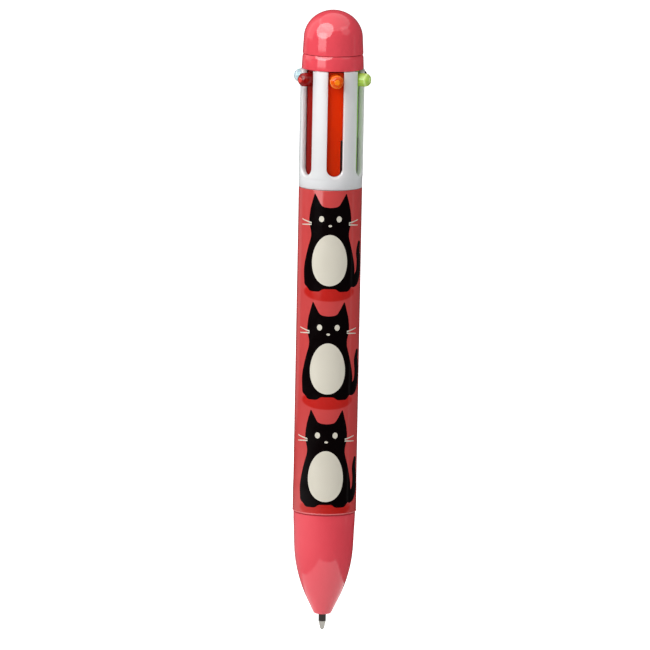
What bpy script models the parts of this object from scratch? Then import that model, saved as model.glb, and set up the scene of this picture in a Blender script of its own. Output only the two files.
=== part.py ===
"""Multicolour click pen: six sliders, each with its own refill and return spring.

The pen stands on its writing point. +Z runs up the pen from the lowest point of the
ball that is out, and -Y is the front, where the orange slider is. The dark blue
refill, at the back, is clicked down; the other five are up. Lengths are metres.
"""

import math

import bmesh
import bpy
from mathutils import Matrix, Vector

MM = 0.001

# Levels up the pen, from the ball's lowest point.
Z_NOSE_END = 4.05 * MM          # flat end of the nose, round the tip
Z_NOSE_SEAM = 28.80 * MM        # nose shoulder, where the barrel starts
Z_PLATE_SHOULDER = 63.85 * MM   # step in the barrel that carries the spring plate
Z_BARREL_TOP = 106.30 * MM      # barrel to slotted sleeve
Z_SLOT_BOTTOM = 109.50 * MM     # lowest point of each slot's round end
Z_SLEEVE_TOP = 134.25 * MM      # top of the sleeve's fingers, under the collar
Z_COLLAR_BOTTOM = 134.40 * MM
Z_COLLAR_TOP = 137.85 * MM
Z_DOME_EQUATOR = 141.60 * MM
Z_DOME_TOP = 148.20 * MM

# Radii of the casing.
R_BARREL_FOOT = 7.54 * MM
R_BARREL = 7.49 * MM
R_BARREL_BORE = 6.00 * MM
R_SPRING_BORE = 6.40 * MM
R_SLEEVE_OUT = 7.55 * MM
R_SLEEVE_BASE = 7.47 * MM
R_SLEEVE_IN = 6.35 * MM
R_SPIGOT = 6.85 * MM            # spigots of the sleeve
R_NOSE_SEAM = 7.32 * MM
R_NOSE_SPIGOT = 6.45 * MM
R_COLLAR_BOTTOM = 7.32 * MM
R_COLLAR_TOP = 7.20 * MM
R_DOME_BOTTOM = 7.16 * MM
R_DOME = 6.97 * MM
R_DOME_SPIGOT = 6.05 * MM

SEAM = 0.10 * MM                # gap between two faces that meet
FIT = 0.10 * MM                 # radial clearance of a spigot in its bore
WALL = 1.15 * MM                # moulded wall of nose and dome
TURN_STEPS = 36                 # facets round the casing
FINE_STEPS = 10                 # facets round a refill

# Slots and sliders.
SLOT_COUNT = 6
SLOT_WIDTH = 3.80 * MM
TRAVEL = 20.50 * MM             # a slider's stroke from up to latched
KNOB_Z = 132.15 * MM            # knob centre when the slider is up
KNOB_R = 1.58 * MM
KNOB_END = 9.70 * MM            # outer end of a knob, from the pen's axis
SLIDER_TOP = 134.05 * MM
SLIDER_FOOT = 102.50 * MM       # underside of the spring seat when up
RAIL_BOTTOM = 104.00 * MM
NOTCH_TOP = 118.00 * MM         # the rail is cut away on one side below this
FLANGE_R = 6.15 * MM            # face of the rail that shows in the slot
FLANGE_HALF = 2.15 * MM
FLANGE_IN = 5.00 * MM
WEB_HALF = 1.50 * MM
WEB_IN = 4.12 * MM
NOTCH_HALF = 1.35 * MM
SEAT_R = 1.80 * MM
PEG_R = 0.70 * MM
PEG_LENGTH = 2.40 * MM

# Refills.
REFILL_RING = 4.30 * MM         # distance of a raised refill from the pen's axis
BALL_R = 0.35 * MM
TUBE_R = 1.35 * MM
TUBE_WALL = 0.40 * MM
TUBE_BOTTOM = 9.10 * MM         # above the ball's lowest point
TUBE_TOP = 81.90 * MM
INK_R = 0.80 * MM
INK_BOTTOM = 12.30 * MM
INK_TOP = 74.00 * MM
INK_LEVEL_STEP = 1.60 * MM      # each colour is used up a little further
BEND_BOTTOM = 12.00 * MM        # a lowered tube bends between these two levels
BEND_TOP = 79.00 * MM
SPRING_R = 1.75 * MM
SPRING_WIRE_R = 0.16 * MM
SPRING_TURNS = 6
SPRING_POINTS = 7               # points for each turn
SPRING_END_GAP = 0.25 * MM

# Core and spring plate.
PLATE_BOTTOM = Z_PLATE_SHOULDER + SEAM
PLATE_THICK = 2.00 * MM
PLATE_R = 6.25 * MM
PLATE_SLOT_HALF = 1.50 * MM
PLATE_SLOT_IN = 3.40 * MM
PILLAR_R = 1.50 * MM
PILLAR_PIN_R = 0.90 * MM
HUB_R = 3.75 * MM
HUB_BOTTOM = 105.50 * MM
FIN_R = 6.20 * MM
FIN_HALF = 0.35 * MM
CORE_DISC_R = 6.05 * MM
CORE_DISC_BOTTOM = 134.60 * MM
CORE_DISC_TOP = 136.20 * MM

# Each slider's colour, its place round the pen (degrees from the front towards +X),
# and whether its refill is out.
SLIDERS = (
    ("orange", 0.0, (0.84, 0.10, 0.005), False),
    ("light_green", 60.0, (0.38, 0.66, 0.14), False),
    ("black", 120.0, (0.012, 0.012, 0.013), False),
    ("dark_blue", 180.0, (0.010, 0.05, 0.36), True),
    ("light_blue", 240.0, (0.44, 0.70, 0.76), False),
    ("red", 300.0, (0.42, 0.012, 0.010), False),
)
RED_SHELL = (0.62, 0.055, 0.065)
PINK_SHELL = (0.80, 0.085, 0.110)


def clear_scene():
    """Remove every object that the file opened with."""
    for obj in list(bpy.data.objects):
        bpy.data.objects.remove(obj, do_unlink=True)


def new_collection(name):
    """Add a collection to the scene."""
    collection = bpy.data.collections.new(name)
    bpy.context.scene.collection.children.link(collection)
    return collection


def make_material(name, colour, roughness, metallic=0.0):
    """A Principled material of one colour."""
    material = bpy.data.materials.new(name)
    material.use_nodes = True
    shader = material.node_tree.nodes["Principled BSDF"]
    shader.inputs["Base Color"].default_value = (*colour, 1.0)
    shader.inputs["Roughness"].default_value = roughness
    shader.inputs["Metallic"].default_value = metallic
    return material


def outward(degrees):
    """The level direction that points out of the pen at this place round it."""
    turn = math.radians(degrees)
    return Vector((math.sin(turn), -math.cos(turn), 0.0))


def add_object(name, mesh, collection, material=None):
    """Put a mesh in the scene as a named object."""
    obj = bpy.data.objects.new(name, mesh)
    collection.objects.link(obj)
    if material:
        mesh.materials.append(material)
    return obj


def bench_of(kind):
    """Helper objects that are worked with and then removed stay in this collection."""
    return bpy.data.collections[kind]


def turned_mesh(profile, steps):
    """Turn an outline of (radius, level) points round Z.

    The outline runs down its outer side. It is closed as a ring unless both its ends
    are on the axis.
    """
    mesh = bpy.data.meshes.new("turned")
    points = [(radius, 0.0, level) for radius, level in profile]
    edges = [(i, i + 1) for i in range(len(points) - 1)]
    if profile[0][0] > 0.0:
        edges.append((len(points) - 1, 0))
    mesh.from_pydata(points, edges, [])
    helper = bpy.data.objects.new("turning", mesh)
    bench_of("workbench").objects.link(helper)
    screw = helper.modifiers.new("turn", "SCREW")
    screw.steps = steps
    screw.render_steps = steps
    screw.use_merge_vertices = True
    screw.merge_threshold = 0.00001
    return baked_mesh(helper)


def baked_mesh(helper):
    """The helper's mesh with its modifiers applied; the helper is removed."""
    graph = bpy.context.evaluated_depsgraph_get()
    graph.update()
    mesh = bpy.data.meshes.new_from_object(helper.evaluated_get(graph))
    mesh.transform(helper.matrix_world)
    bpy.data.objects.remove(helper, do_unlink=True)
    work = bmesh.new()
    work.from_mesh(mesh)
    bmesh.ops.remove_doubles(work, verts=work.verts, dist=0.000002)
    bmesh.ops.recalc_face_normals(work, faces=work.faces)
    work.to_mesh(mesh)
    work.free()
    return mesh


def outline_mesh(points, depth):
    """A flat outline in X and Y, made solid from Z = 0 to depth."""
    curve = bpy.data.curves.new("outline", "CURVE")
    curve.dimensions = "2D"
    curve.fill_mode = "BOTH"
    curve.extrude = depth / 2
    spline = curve.splines.new("POLY")
    spline.points.add(len(points) - 1)
    for point, (x, y) in zip(spline.points, points):
        point.co = (x, y, 0.0, 1.0)
    spline.use_cyclic_u = True
    helper = bpy.data.objects.new("outline", curve)
    helper.location.z = depth / 2
    bench_of("workbench").objects.link(helper)
    bpy.context.view_layer.update()
    return baked_mesh(helper)


def tube_mesh(points, radius, capped):
    """A round tube along a line of points, with eight sides."""
    curve = bpy.data.curves.new("tube", "CURVE")
    curve.dimensions = "3D"
    curve.bevel_depth = radius
    curve.bevel_resolution = 2
    curve.use_fill_caps = capped
    spline = curve.splines.new("POLY")
    spline.points.add(len(points) - 1)
    for point, place in zip(spline.points, points):
        point.co = (*place, 1.0)
    helper = bpy.data.objects.new("tube", curve)
    bench_of("workbench").objects.link(helper)
    return baked_mesh(helper)


def modify(obj, operation, other):
    """Cut or join an object with another by an exact Boolean modifier."""
    boolean = obj.modifiers.new(f"{operation.lower()} {other.name}", "BOOLEAN")
    boolean.operation = operation
    boolean.solver = "EXACT"
    boolean.object = other


def make_cutter(name, mesh, matrix):
    """A tool that cuts or joins another object and isn't a piece itself."""
    cutter = add_object(name, mesh, bench_of("cutters"))
    cutter.matrix_world = matrix
    cutter.hide_render = True
    cutter.display_type = "WIRE"
    return cutter


def shade(obj):
    """Smooth the round faces and keep the edges sharp."""
    obj.data.shade_smooth()
    obj.data.set_sharp_from_angle(angle=math.radians(35.0))


def turned_piece(name, profile, material, steps=TURN_STEPS):
    """A finished piece turned about the pen's axis."""
    piece = add_object(name, turned_mesh(profile, steps), bench_of("multicolour_click_pen"), material)
    shade(piece)
    return piece


def arc(centre_r, centre_z, radius_r, radius_z, start, end, count):
    """Points on an ellipse from one angle to another; 0 points out and 90 points up."""
    points = []
    for step in range(count + 1):
        turn = math.radians(start + (end - start) * step / count)
        points.append((centre_r + radius_r * math.cos(turn), centre_z + radius_z * math.sin(turn)))
    return points


def build_dome(material):
    """The round cap on top, a shell with a spigot that plugs into the collar."""
    low = Z_COLLAR_TOP + SEAM
    top_height = Z_DOME_TOP - Z_DOME_EQUATOR
    outside = arc(0.0, Z_DOME_EQUATOR, R_DOME, top_height, 90.0, 0.0, 8)
    outside[0] = (0.0, Z_DOME_TOP)
    inside = arc(0.0, Z_DOME_EQUATOR, R_DOME_SPIGOT - WALL, top_height - WALL, 0.0, 90.0, 5)
    inside[-1] = (0.0, Z_DOME_TOP - WALL)
    rim = [
        (R_DOME_BOTTOM, low),
        (R_DOME_SPIGOT, low),
        (R_DOME_SPIGOT, CORE_DISC_TOP + SEAM),
        (R_DOME_SPIGOT - WALL, CORE_DISC_TOP + SEAM),
    ]
    turned_piece("crown_dome", outside + rim + inside, material)


def build_collar(material):
    """The ring between the dome and the slotted sleeve."""
    rebate = R_SPIGOT + FIT
    profile = [
        (R_COLLAR_TOP - 0.10 * MM, Z_COLLAR_TOP),
        (R_COLLAR_TOP, Z_COLLAR_TOP - 0.12 * MM),
        (R_COLLAR_BOTTOM, Z_COLLAR_BOTTOM + 0.10 * MM),
        (R_COLLAR_BOTTOM - 0.10 * MM, Z_COLLAR_BOTTOM),
        (rebate, Z_COLLAR_BOTTOM),
        (rebate, CORE_DISC_TOP + 0.30 * MM),
        (R_DOME_SPIGOT + FIT, CORE_DISC_TOP + 0.30 * MM),
        (R_DOME_SPIGOT + FIT, Z_COLLAR_TOP),
    ]
    turned_piece("crown_collar", profile, material)


def build_sleeve(material):
    """The white sleeve, its fingers parted by six slots that are open at the top."""
    tongue = CORE_DISC_TOP + 0.15 * MM
    spigot_end = Z_BARREL_TOP - 7.80 * MM
    profile = [
        (R_SPIGOT, tongue),
        (R_SPIGOT, Z_SLEEVE_TOP),
        (R_SLEEVE_OUT, Z_SLEEVE_TOP),
        (R_SLEEVE_OUT, Z_SLOT_BOTTOM - 0.50 * MM),
        (R_SLEEVE_BASE, Z_SLOT_BOTTOM - 0.90 * MM),
        (R_SLEEVE_BASE, Z_BARREL_TOP + SEAM / 2),
        (R_SPIGOT, Z_BARREL_TOP + SEAM / 2),
        (R_SPIGOT, spigot_end),
        (R_SLEEVE_IN, spigot_end),
        (R_SLEEVE_IN, tongue),
    ]
    sleeve = turned_piece("slotted_sleeve", profile, material, SLOT_COUNT * 6)
    half = SLOT_WIDTH / 2
    round_centre = Z_SLOT_BOTTOM + half
    outline = [(half, tongue + 1.0 * MM), (-half, tongue + 1.0 * MM)]
    outline += arc(0.0, round_centre, half, half, 180.0, 360.0, 8)
    for number, (_, degrees, _, _) in enumerate(SLIDERS):
        cutter = make_cutter(
            f"slot_cutter_{number + 1}",
            outline_mesh(outline, 4.0 * MM),
            upright_frame(degrees, R_SLEEVE_IN - 1.2 * MM),
        )
        modify(sleeve, "DIFFERENCE", cutter)


def upright_frame(degrees, radius):
    """A frame at this radius: local Z points out of the pen and local Y points up."""
    out = outward(degrees)
    up = Vector((0.0, 0.0, 1.0))
    side = up.cross(out)
    turned = Matrix((side, up, out)).transposed().to_4x4()
    return Matrix.Translation(out * radius) @ turned


def build_barrel(material):
    """The grip tube, counterbored at both ends, with a step for the spring plate."""
    nose_bore = R_NOSE_SPIGOT + FIT
    sleeve_bore = R_SPIGOT + FIT
    foot = Z_NOSE_SEAM + SEAM
    profile = [
        (R_BARREL - 0.08 * MM, Z_BARREL_TOP - SEAM / 2),
        (R_BARREL, Z_BARREL_TOP - 0.15 * MM),
        (R_BARREL, foot + 8.0 * MM),
        (R_BARREL_FOOT, foot + 6.0 * MM),
        (R_BARREL_FOOT, foot + 0.12 * MM),
        (R_BARREL_FOOT - 0.10 * MM, foot),
        (nose_bore, foot),
        (nose_bore, foot + 8.2 * MM),
        (R_BARREL_BORE, foot + 8.2 * MM),
        (R_BARREL_BORE, Z_PLATE_SHOULDER),
        (R_SPRING_BORE, Z_PLATE_SHOULDER),
        (R_SPRING_BORE, Z_BARREL_TOP - 8.2 * MM),
        (sleeve_bore, Z_BARREL_TOP - 8.2 * MM),
        (sleeve_bore, Z_BARREL_TOP - SEAM / 2),
    ]
    turned_piece("barrel", profile, material)


def build_nose(material):
    """The nose, whose inside is a funnel that leads a refill tip to the pen's axis."""
    outside = [
        (R_NOSE_SEAM, Z_NOSE_SEAM),
        (7.31 * MM, 27.40 * MM),
        (7.15 * MM, 23.80 * MM),
        (7.00 * MM, 20.20 * MM),
        (6.73 * MM, 17.35 * MM),
        (6.19 * MM, 14.50 * MM),
        (5.37 * MM, 11.60 * MM),
        (4.28 * MM, 8.75 * MM),
        (2.88 * MM, 5.88 * MM),
        (2.25 * MM, 4.45 * MM),
        (1.95 * MM, Z_NOSE_END),
    ]
    hole = 1.42 * MM
    inside = [
        (hole, Z_NOSE_END),
        (3.05 * MM, 9.00 * MM),
        (4.15 * MM, 12.00 * MM),
        (5.05 * MM, 15.00 * MM),
        (5.70 * MM, 18.50 * MM),
        (R_NOSE_SPIGOT - 0.60 * MM, 22.50 * MM),
    ]
    end = Z_NOSE_SEAM + 8.0 * MM
    spigot = [
        (R_NOSE_SPIGOT - 0.60 * MM, end),
        (R_NOSE_SPIGOT - 0.10 * MM, end),
        (R_NOSE_SPIGOT, end - 0.40 * MM),
        (R_NOSE_SPIGOT, Z_NOSE_SEAM),
    ]
    turned_piece("nose_cone", outside + inside + spigot, material)


def build_core(material):
    """The star-shaped guide between the sliders, on a pillar that holds the plate."""
    plate_top = PLATE_BOTTOM + PLATE_THICK
    profile = [
        (0.0, CORE_DISC_TOP),
        (CORE_DISC_R, CORE_DISC_TOP),
        (CORE_DISC_R, CORE_DISC_BOTTOM),
        (HUB_R, CORE_DISC_BOTTOM),
        (HUB_R, HUB_BOTTOM),
        (PILLAR_R, HUB_BOTTOM),
        (PILLAR_R, plate_top + SEAM),
        (PILLAR_PIN_R, plate_top + SEAM),
        (PILLAR_PIN_R, PLATE_BOTTOM - 0.60 * MM),
        (0.0, PLATE_BOTTOM - 0.60 * MM),
    ]
    core = turned_piece("slider_core", profile, material, 24)
    fin_depth = FIN_R - HUB_R + 1.0 * MM
    fin = [
        (-FIN_HALF, HUB_BOTTOM + 0.40 * MM),
        (FIN_HALF, HUB_BOTTOM + 0.40 * MM),
        (FIN_HALF, CORE_DISC_BOTTOM + 0.80 * MM),
        (-FIN_HALF, CORE_DISC_BOTTOM + 0.80 * MM),
    ]
    for number, (_, degrees, _, _) in enumerate(SLIDERS):
        blade = make_cutter(
            f"core_fin_{number + 1}",
            outline_mesh(fin, fin_depth),
            upright_frame(degrees + 180.0 / SLOT_COUNT, HUB_R - 1.0 * MM),
        )
        modify(core, "UNION", blade)


def build_plate(material):
    """The plate that the springs push on, slotted so that each refill can lean in."""
    profile = [
        (PLATE_R, PLATE_BOTTOM + PLATE_THICK),
        (PLATE_R, PLATE_BOTTOM),
        (PILLAR_PIN_R + FIT, PLATE_BOTTOM),
        (PILLAR_PIN_R + FIT, PLATE_BOTTOM + PLATE_THICK),
    ]
    plate = turned_piece("spring_plate", profile, material)
    outer = arc(0.0, -REFILL_RING, PLATE_SLOT_HALF, PLATE_SLOT_HALF, 180.0, 360.0, 6)
    inner = arc(0.0, -PLATE_SLOT_IN, PLATE_SLOT_HALF, PLATE_SLOT_HALF, 0.0, 180.0, 6)
    for number, (_, degrees, _, _) in enumerate(SLIDERS):
        place = Matrix.Translation((0.0, 0.0, PLATE_BOTTOM - 1.0 * MM))
        turn = Matrix.Rotation(math.radians(degrees), 4, "Z")
        cutter = make_cutter(
            f"refill_slot_cutter_{number + 1}",
            outline_mesh(outer + inner, PLATE_THICK + 2.0 * MM),
            place @ turn,
        )
        modify(plate, "DIFFERENCE", cutter)


def rail_outline():
    """Plan of a slider's rail, for a slider at the front: a curved flange and its web."""
    edge = math.degrees(math.asin(FLANGE_HALF / FLANGE_R))
    face = arc(0.0, 0.0, FLANGE_R, FLANGE_R, 270.0 - edge, 270.0 + edge, 4)
    return face + [
        (FLANGE_HALF, -FLANGE_IN),
        (WEB_HALF, -FLANGE_IN),
        (WEB_HALF, -WEB_IN),
        (-WEB_HALF, -WEB_IN),
        (-WEB_HALF, -FLANGE_IN),
        (-FLANGE_HALF, -FLANGE_IN),
    ]


def box_mesh(low, high):
    """A block between two corners."""
    mesh = bpy.data.meshes.new("block")
    work = bmesh.new()
    bmesh.ops.create_cube(work, size=1.0)
    size = Vector(high) - Vector(low)
    bmesh.ops.scale(work, vec=size, verts=work.verts)
    bmesh.ops.translate(work, vec=(Vector(high) + Vector(low)) / 2, verts=work.verts)
    work.to_mesh(mesh)
    work.free()
    return mesh


def build_slider(name, degrees, lift, material):
    """A slider: rail, knob, spring seat and the peg that plugs into the refill.

    Its frame is an empty on the refill's axis, at the underside of the spring seat.
    """
    collection = bench_of("multicolour_click_pen")
    frame = bpy.data.objects.new(f"slide_{name}", None)
    frame.empty_display_size = 0.01
    collection.objects.link(frame)
    frame.location = outward(degrees) * REFILL_RING + Vector((0, 0, SLIDER_FOOT + lift))
    frame.rotation_euler.z = math.radians(degrees)
    rail = outline_mesh(rail_outline(), SLIDER_TOP - RAIL_BOTTOM)
    to_frame = Matrix.Translation((0.0, REFILL_RING, RAIL_BOTTOM - SLIDER_FOOT))
    rail.transform(to_frame)
    slider = add_object(f"slider_{name}", rail, collection, material)
    slider.parent = frame
    bpy.context.view_layer.update()
    knob_in = FLANGE_R - 0.6 * MM
    bulge = 1.15 * MM
    knob = [(0.0, KNOB_END)]
    knob += arc(0.0, KNOB_END - bulge, KNOB_R, bulge, 72.0, 0.0, 4)
    knob += [(KNOB_R, knob_in), (0.0, knob_in)]
    to_radial = Matrix.Rotation(math.radians(90.0), 4, "X")
    knob_place = Matrix.Translation((0.0, REFILL_RING, KNOB_Z - SLIDER_FOOT)) @ to_radial
    seat = [
        (0.0, RAIL_BOTTOM - SLIDER_FOOT + 1.2 * MM),
        (SEAT_R, RAIL_BOTTOM - SLIDER_FOOT + 1.2 * MM),
        (SEAT_R, 0.0),
        (PEG_R, 0.0),
        (PEG_R, -PEG_LENGTH + 0.25 * MM),
        (PEG_R - 0.2 * MM, -PEG_LENGTH),
        (0.0, -PEG_LENGTH),
    ]
    notch = box_mesh(
        (NOTCH_HALF, -FLANGE_R + REFILL_RING - 1.0 * MM, RAIL_BOTTOM - SLIDER_FOOT - 1.0 * MM),
        (FLANGE_HALF + 1.0 * MM, -WEB_IN + REFILL_RING + 1.0 * MM, NOTCH_TOP - SLIDER_FOOT),
    )
    additions = (
        ("DIFFERENCE", "notch", notch, Matrix.Identity(4)),
        ("UNION", "knob", turned_mesh(knob, 14), knob_place),
        ("UNION", "seat", turned_mesh(seat, 12), Matrix.Identity(4)),
    )
    for operation, part, mesh, place in additions:
        tool = make_cutter(f"{part}_{name}", mesh, frame.matrix_world @ place)
        modify(slider, operation, tool)
    shade(slider)


def lean(level, lowered):
    """How far a refill's middle line has moved in towards the pen's axis at a level.

    A lowered tube runs straight from its slider, bends in and back in one smooth S,
    and comes out straight at the tip.
    """
    if not lowered:
        return 0.0
    share = (BEND_TOP - level) / (BEND_TOP - BEND_BOTTOM)
    share = min(max(share, 0.0), 1.0)
    return REFILL_RING * share * share * (3.0 - 2.0 * share)


def refill_line(degrees, low, high, lowered, count):
    """Points up the refill's middle line between two levels above its ball."""
    lift = 0.0 if lowered else TRAVEL
    points = []
    for step in range(count + 1):
        level = low + (high - low) * step / count
        place = outward(degrees) * (REFILL_RING - lean(level, lowered))
        points.append(place + Vector((0.0, 0.0, level + lift)))
    return points


def build_refill(name, degrees, colour, lowered, materials, order):
    """A refill: tube, ink, metal tip and ball."""
    collection = bench_of("multicolour_click_pen")
    pieces = 14 if lowered else 1
    line = refill_line(degrees, TUBE_BOTTOM, TUBE_TOP, lowered, pieces)
    tube = add_object(
        f"refill_tube_{name}", tube_mesh(line, TUBE_R, False), collection, materials["tube"]
    )
    wall = tube.modifiers.new("wall", "SOLIDIFY")
    wall.thickness = TUBE_WALL
    wall.offset = -1.0
    shade(tube)

    ink_top = INK_TOP - order * INK_LEVEL_STEP
    line = refill_line(degrees, INK_BOTTOM, ink_top, lowered, pieces)
    ink_material = make_material(f"ink_{name}", colour, 0.2)
    ink = add_object(f"ink_{name}", tube_mesh(line, INK_R, True), collection, ink_material)
    shade(ink)

    base = refill_line(degrees, 0.0, 0.0, lowered, 1)[0]
    tip_profile = [
        (0.0, 11.80 * MM),
        (0.78 * MM, 11.80 * MM),
        (0.86 * MM, TUBE_BOTTOM - 0.10 * MM),
        (1.15 * MM, TUBE_BOTTOM - 0.10 * MM),
        (1.15 * MM, 5.80 * MM),
        (0.91 * MM, 5.45 * MM),
        (0.91 * MM, 2.18 * MM),
        (0.75 * MM, 1.58 * MM),
        (0.46 * MM, 0.30 * MM),
        (0.39 * MM, 0.26 * MM),
        (0.39 * MM, 0.72 * MM),
        (0.0, 0.90 * MM),
    ]
    tip = add_object(
        f"refill_tip_{name}", turned_mesh(tip_profile, FINE_STEPS), collection, materials["tip"]
    )
    tip.location = base
    shade(tip)

    ball_mesh = bpy.data.meshes.new("ball")
    work = bmesh.new()
    bmesh.ops.create_uvsphere(work, u_segments=10, v_segments=6, radius=BALL_R)
    work.to_mesh(ball_mesh)
    work.free()
    ball = add_object(f"tip_ball_{name}", ball_mesh, collection, materials["ball"])
    ball.location = base + Vector((0.0, 0.0, BALL_R))
    shade(ball)


def build_spring(name, degrees, lowered, material):
    """A return spring round the refill, between the spring plate and the slider."""
    lift = 0.0 if lowered else TRAVEL
    low = PLATE_BOTTOM + PLATE_THICK + SPRING_WIRE_R + SPRING_END_GAP
    high = SLIDER_FOOT - TRAVEL + lift - SPRING_WIRE_R - SPRING_END_GAP
    out = outward(degrees)
    side = Vector((0.0, 0.0, 1.0)).cross(out)
    count = SPRING_TURNS * SPRING_POINTS
    points = []
    for step in range(count + 1):
        share = step / count
        turn = 2.0 * math.pi * SPRING_TURNS * share
        level = low + (high - low) * share
        middle = REFILL_RING - lean(level - lift, lowered)
        place = out * (middle + SPRING_R * math.cos(turn)) + side * SPRING_R * math.sin(turn)
        points.append(place + Vector((0.0, 0.0, level)))
    collection = bench_of("multicolour_click_pen")
    spring = add_object(
        f"return_spring_{name}", tube_mesh(points, SPRING_WIRE_R, True), collection, material
    )
    shade(spring)


def main():
    """Build the whole pen."""
    clear_scene()
    new_collection("multicolour_click_pen")
    cutters = new_collection("cutters")
    cutters.hide_render = True
    workbench = new_collection("workbench")

    red = make_material("red_shell", RED_SHELL, 0.18)
    pink = make_material("pink_shell", PINK_SHELL, 0.22)
    white = make_material("white_shell", (0.82, 0.83, 0.84), 0.28)
    grey = make_material("guide_grey", (0.30, 0.30, 0.31), 0.45)
    steel = make_material("spring_steel", (0.55, 0.55, 0.56), 0.30, 1.0)
    refill_materials = {
        "tube": make_material("refill_tube", (0.85, 0.86, 0.86), 0.25),
        "tip": make_material("nickel_silver", (0.60, 0.58, 0.54), 0.25, 1.0),
        "ball": make_material("carbide_ball", (0.35, 0.35, 0.36), 0.15, 1.0),
    }

    build_dome(pink)
    build_collar(pink)
    build_sleeve(white)
    build_core(grey)
    build_barrel(red)
    build_plate(grey)
    build_nose(pink)
    for order, (name, degrees, colour, lowered) in enumerate(SLIDERS):
        slider_material = make_material(f"slider_{name}", colour, 0.20)
        build_slider(name, degrees, -TRAVEL if lowered else 0.0, slider_material)
        build_refill(name, degrees, colour, lowered, refill_materials, order)
        build_spring(name, degrees, lowered, steel)
    bpy.data.collections.remove(workbench)


main()
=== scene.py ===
"""Looks of the multicolour click pen: turned shells, slotted sleeve, sliders and print.

Every length is in metres unless a name ends in _mm. The pen stands on its point,
+Z runs up it and -Y is the front, where the orange slider is.
"""

import logging
import math
from contextlib import contextmanager
from dataclasses import dataclass
from enum import Enum
from typing import Iterator, Sequence

import bpy
from mathutils import Matrix, Vector


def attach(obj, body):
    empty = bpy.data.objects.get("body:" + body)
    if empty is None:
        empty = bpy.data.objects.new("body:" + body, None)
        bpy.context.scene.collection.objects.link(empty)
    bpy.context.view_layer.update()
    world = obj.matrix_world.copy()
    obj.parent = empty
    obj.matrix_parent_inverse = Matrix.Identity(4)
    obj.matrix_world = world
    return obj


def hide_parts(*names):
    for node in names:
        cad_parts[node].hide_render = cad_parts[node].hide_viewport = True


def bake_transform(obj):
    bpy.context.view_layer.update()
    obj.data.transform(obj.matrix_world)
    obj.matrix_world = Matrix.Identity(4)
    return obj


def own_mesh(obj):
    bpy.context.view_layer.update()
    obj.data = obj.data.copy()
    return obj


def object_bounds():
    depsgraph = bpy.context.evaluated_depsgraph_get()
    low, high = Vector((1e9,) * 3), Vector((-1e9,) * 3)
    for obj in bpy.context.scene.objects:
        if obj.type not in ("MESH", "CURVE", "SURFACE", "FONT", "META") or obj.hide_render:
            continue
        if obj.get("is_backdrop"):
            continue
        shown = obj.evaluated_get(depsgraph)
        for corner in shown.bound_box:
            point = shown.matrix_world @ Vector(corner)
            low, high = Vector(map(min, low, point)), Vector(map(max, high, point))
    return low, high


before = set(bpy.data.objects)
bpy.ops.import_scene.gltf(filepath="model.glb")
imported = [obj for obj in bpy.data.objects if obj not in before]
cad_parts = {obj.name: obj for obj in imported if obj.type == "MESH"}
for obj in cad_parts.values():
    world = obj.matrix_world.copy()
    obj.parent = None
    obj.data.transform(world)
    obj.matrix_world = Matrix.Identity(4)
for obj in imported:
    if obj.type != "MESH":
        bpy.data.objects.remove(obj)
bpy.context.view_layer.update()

log = logging.getLogger("pen")

MM = 0.001
ROUND_STEPS = 160        # facets round the casing
SMALL_STEPS = 40         # facets round a refill or a knob
SHARP_ANGLE = math.radians(32.0)
MERGE = 0.0005 * MM      # points nearer than this are one point
UNIT_TURN = 60.0         # degrees from one writing unit to the next
INK_STEP = 0.026         # each colour is used up this much further than the last
CASING = "casing"

Point2 = tuple[float, float]
Corner = tuple[float, float, float]


# ---------------------------------------------------------------------------
# Colours and nodes


def linear(hex_colour: str) -> tuple[float, float, float, float]:
    """Turn an sRGB hex colour to linear RGBA.

    Args:
        hex_colour: Six hex digits, with or without a leading #.

    Returns:
        The linear colour with alpha 1.
    """
    digits = hex_colour.lstrip("#")
    channels = []
    for start in (0, 2, 4):
        value = int(digits[start:start + 2], 16) / 255.0
        channels.append(value / 12.92 if value <= 0.04045 else ((value + 0.055) / 1.055) ** 2.4)
    return (channels[0], channels[1], channels[2], 1.0)


def add_node(
    tree: bpy.types.NodeTree,
    kind: str,
    settings: dict[str, object] | None = None,
    inputs: dict[str | int, object] | None = None,
) -> bpy.types.Node:
    """Add a node, set its properties, and set or link its inputs.

    Args:
        tree: The node tree that gets the node.
        kind: The node's type name, such as ShaderNodeMath.
        settings: Properties of the node by name.
        inputs: Inputs by name or number, each a value or another node's output.

    Returns:
        The new node.
    """
    node = tree.nodes.new(kind)
    for name, value in (settings or {}).items():
        setattr(node, name, value)
    for name, value in (inputs or {}).items():
        if isinstance(value, bpy.types.NodeSocket):
            tree.links.new(value, node.inputs[name])
        else:
            node.inputs[name].default_value = value
    return node


class Direction(Enum):
    """How a fine surface pattern runs."""

    EVEN = (1.0, 1.0, 1.0)
    ALONG = (1.0, 1.0, 0.06)
    ROUND = (0.04, 0.04, 1.0)


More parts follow.
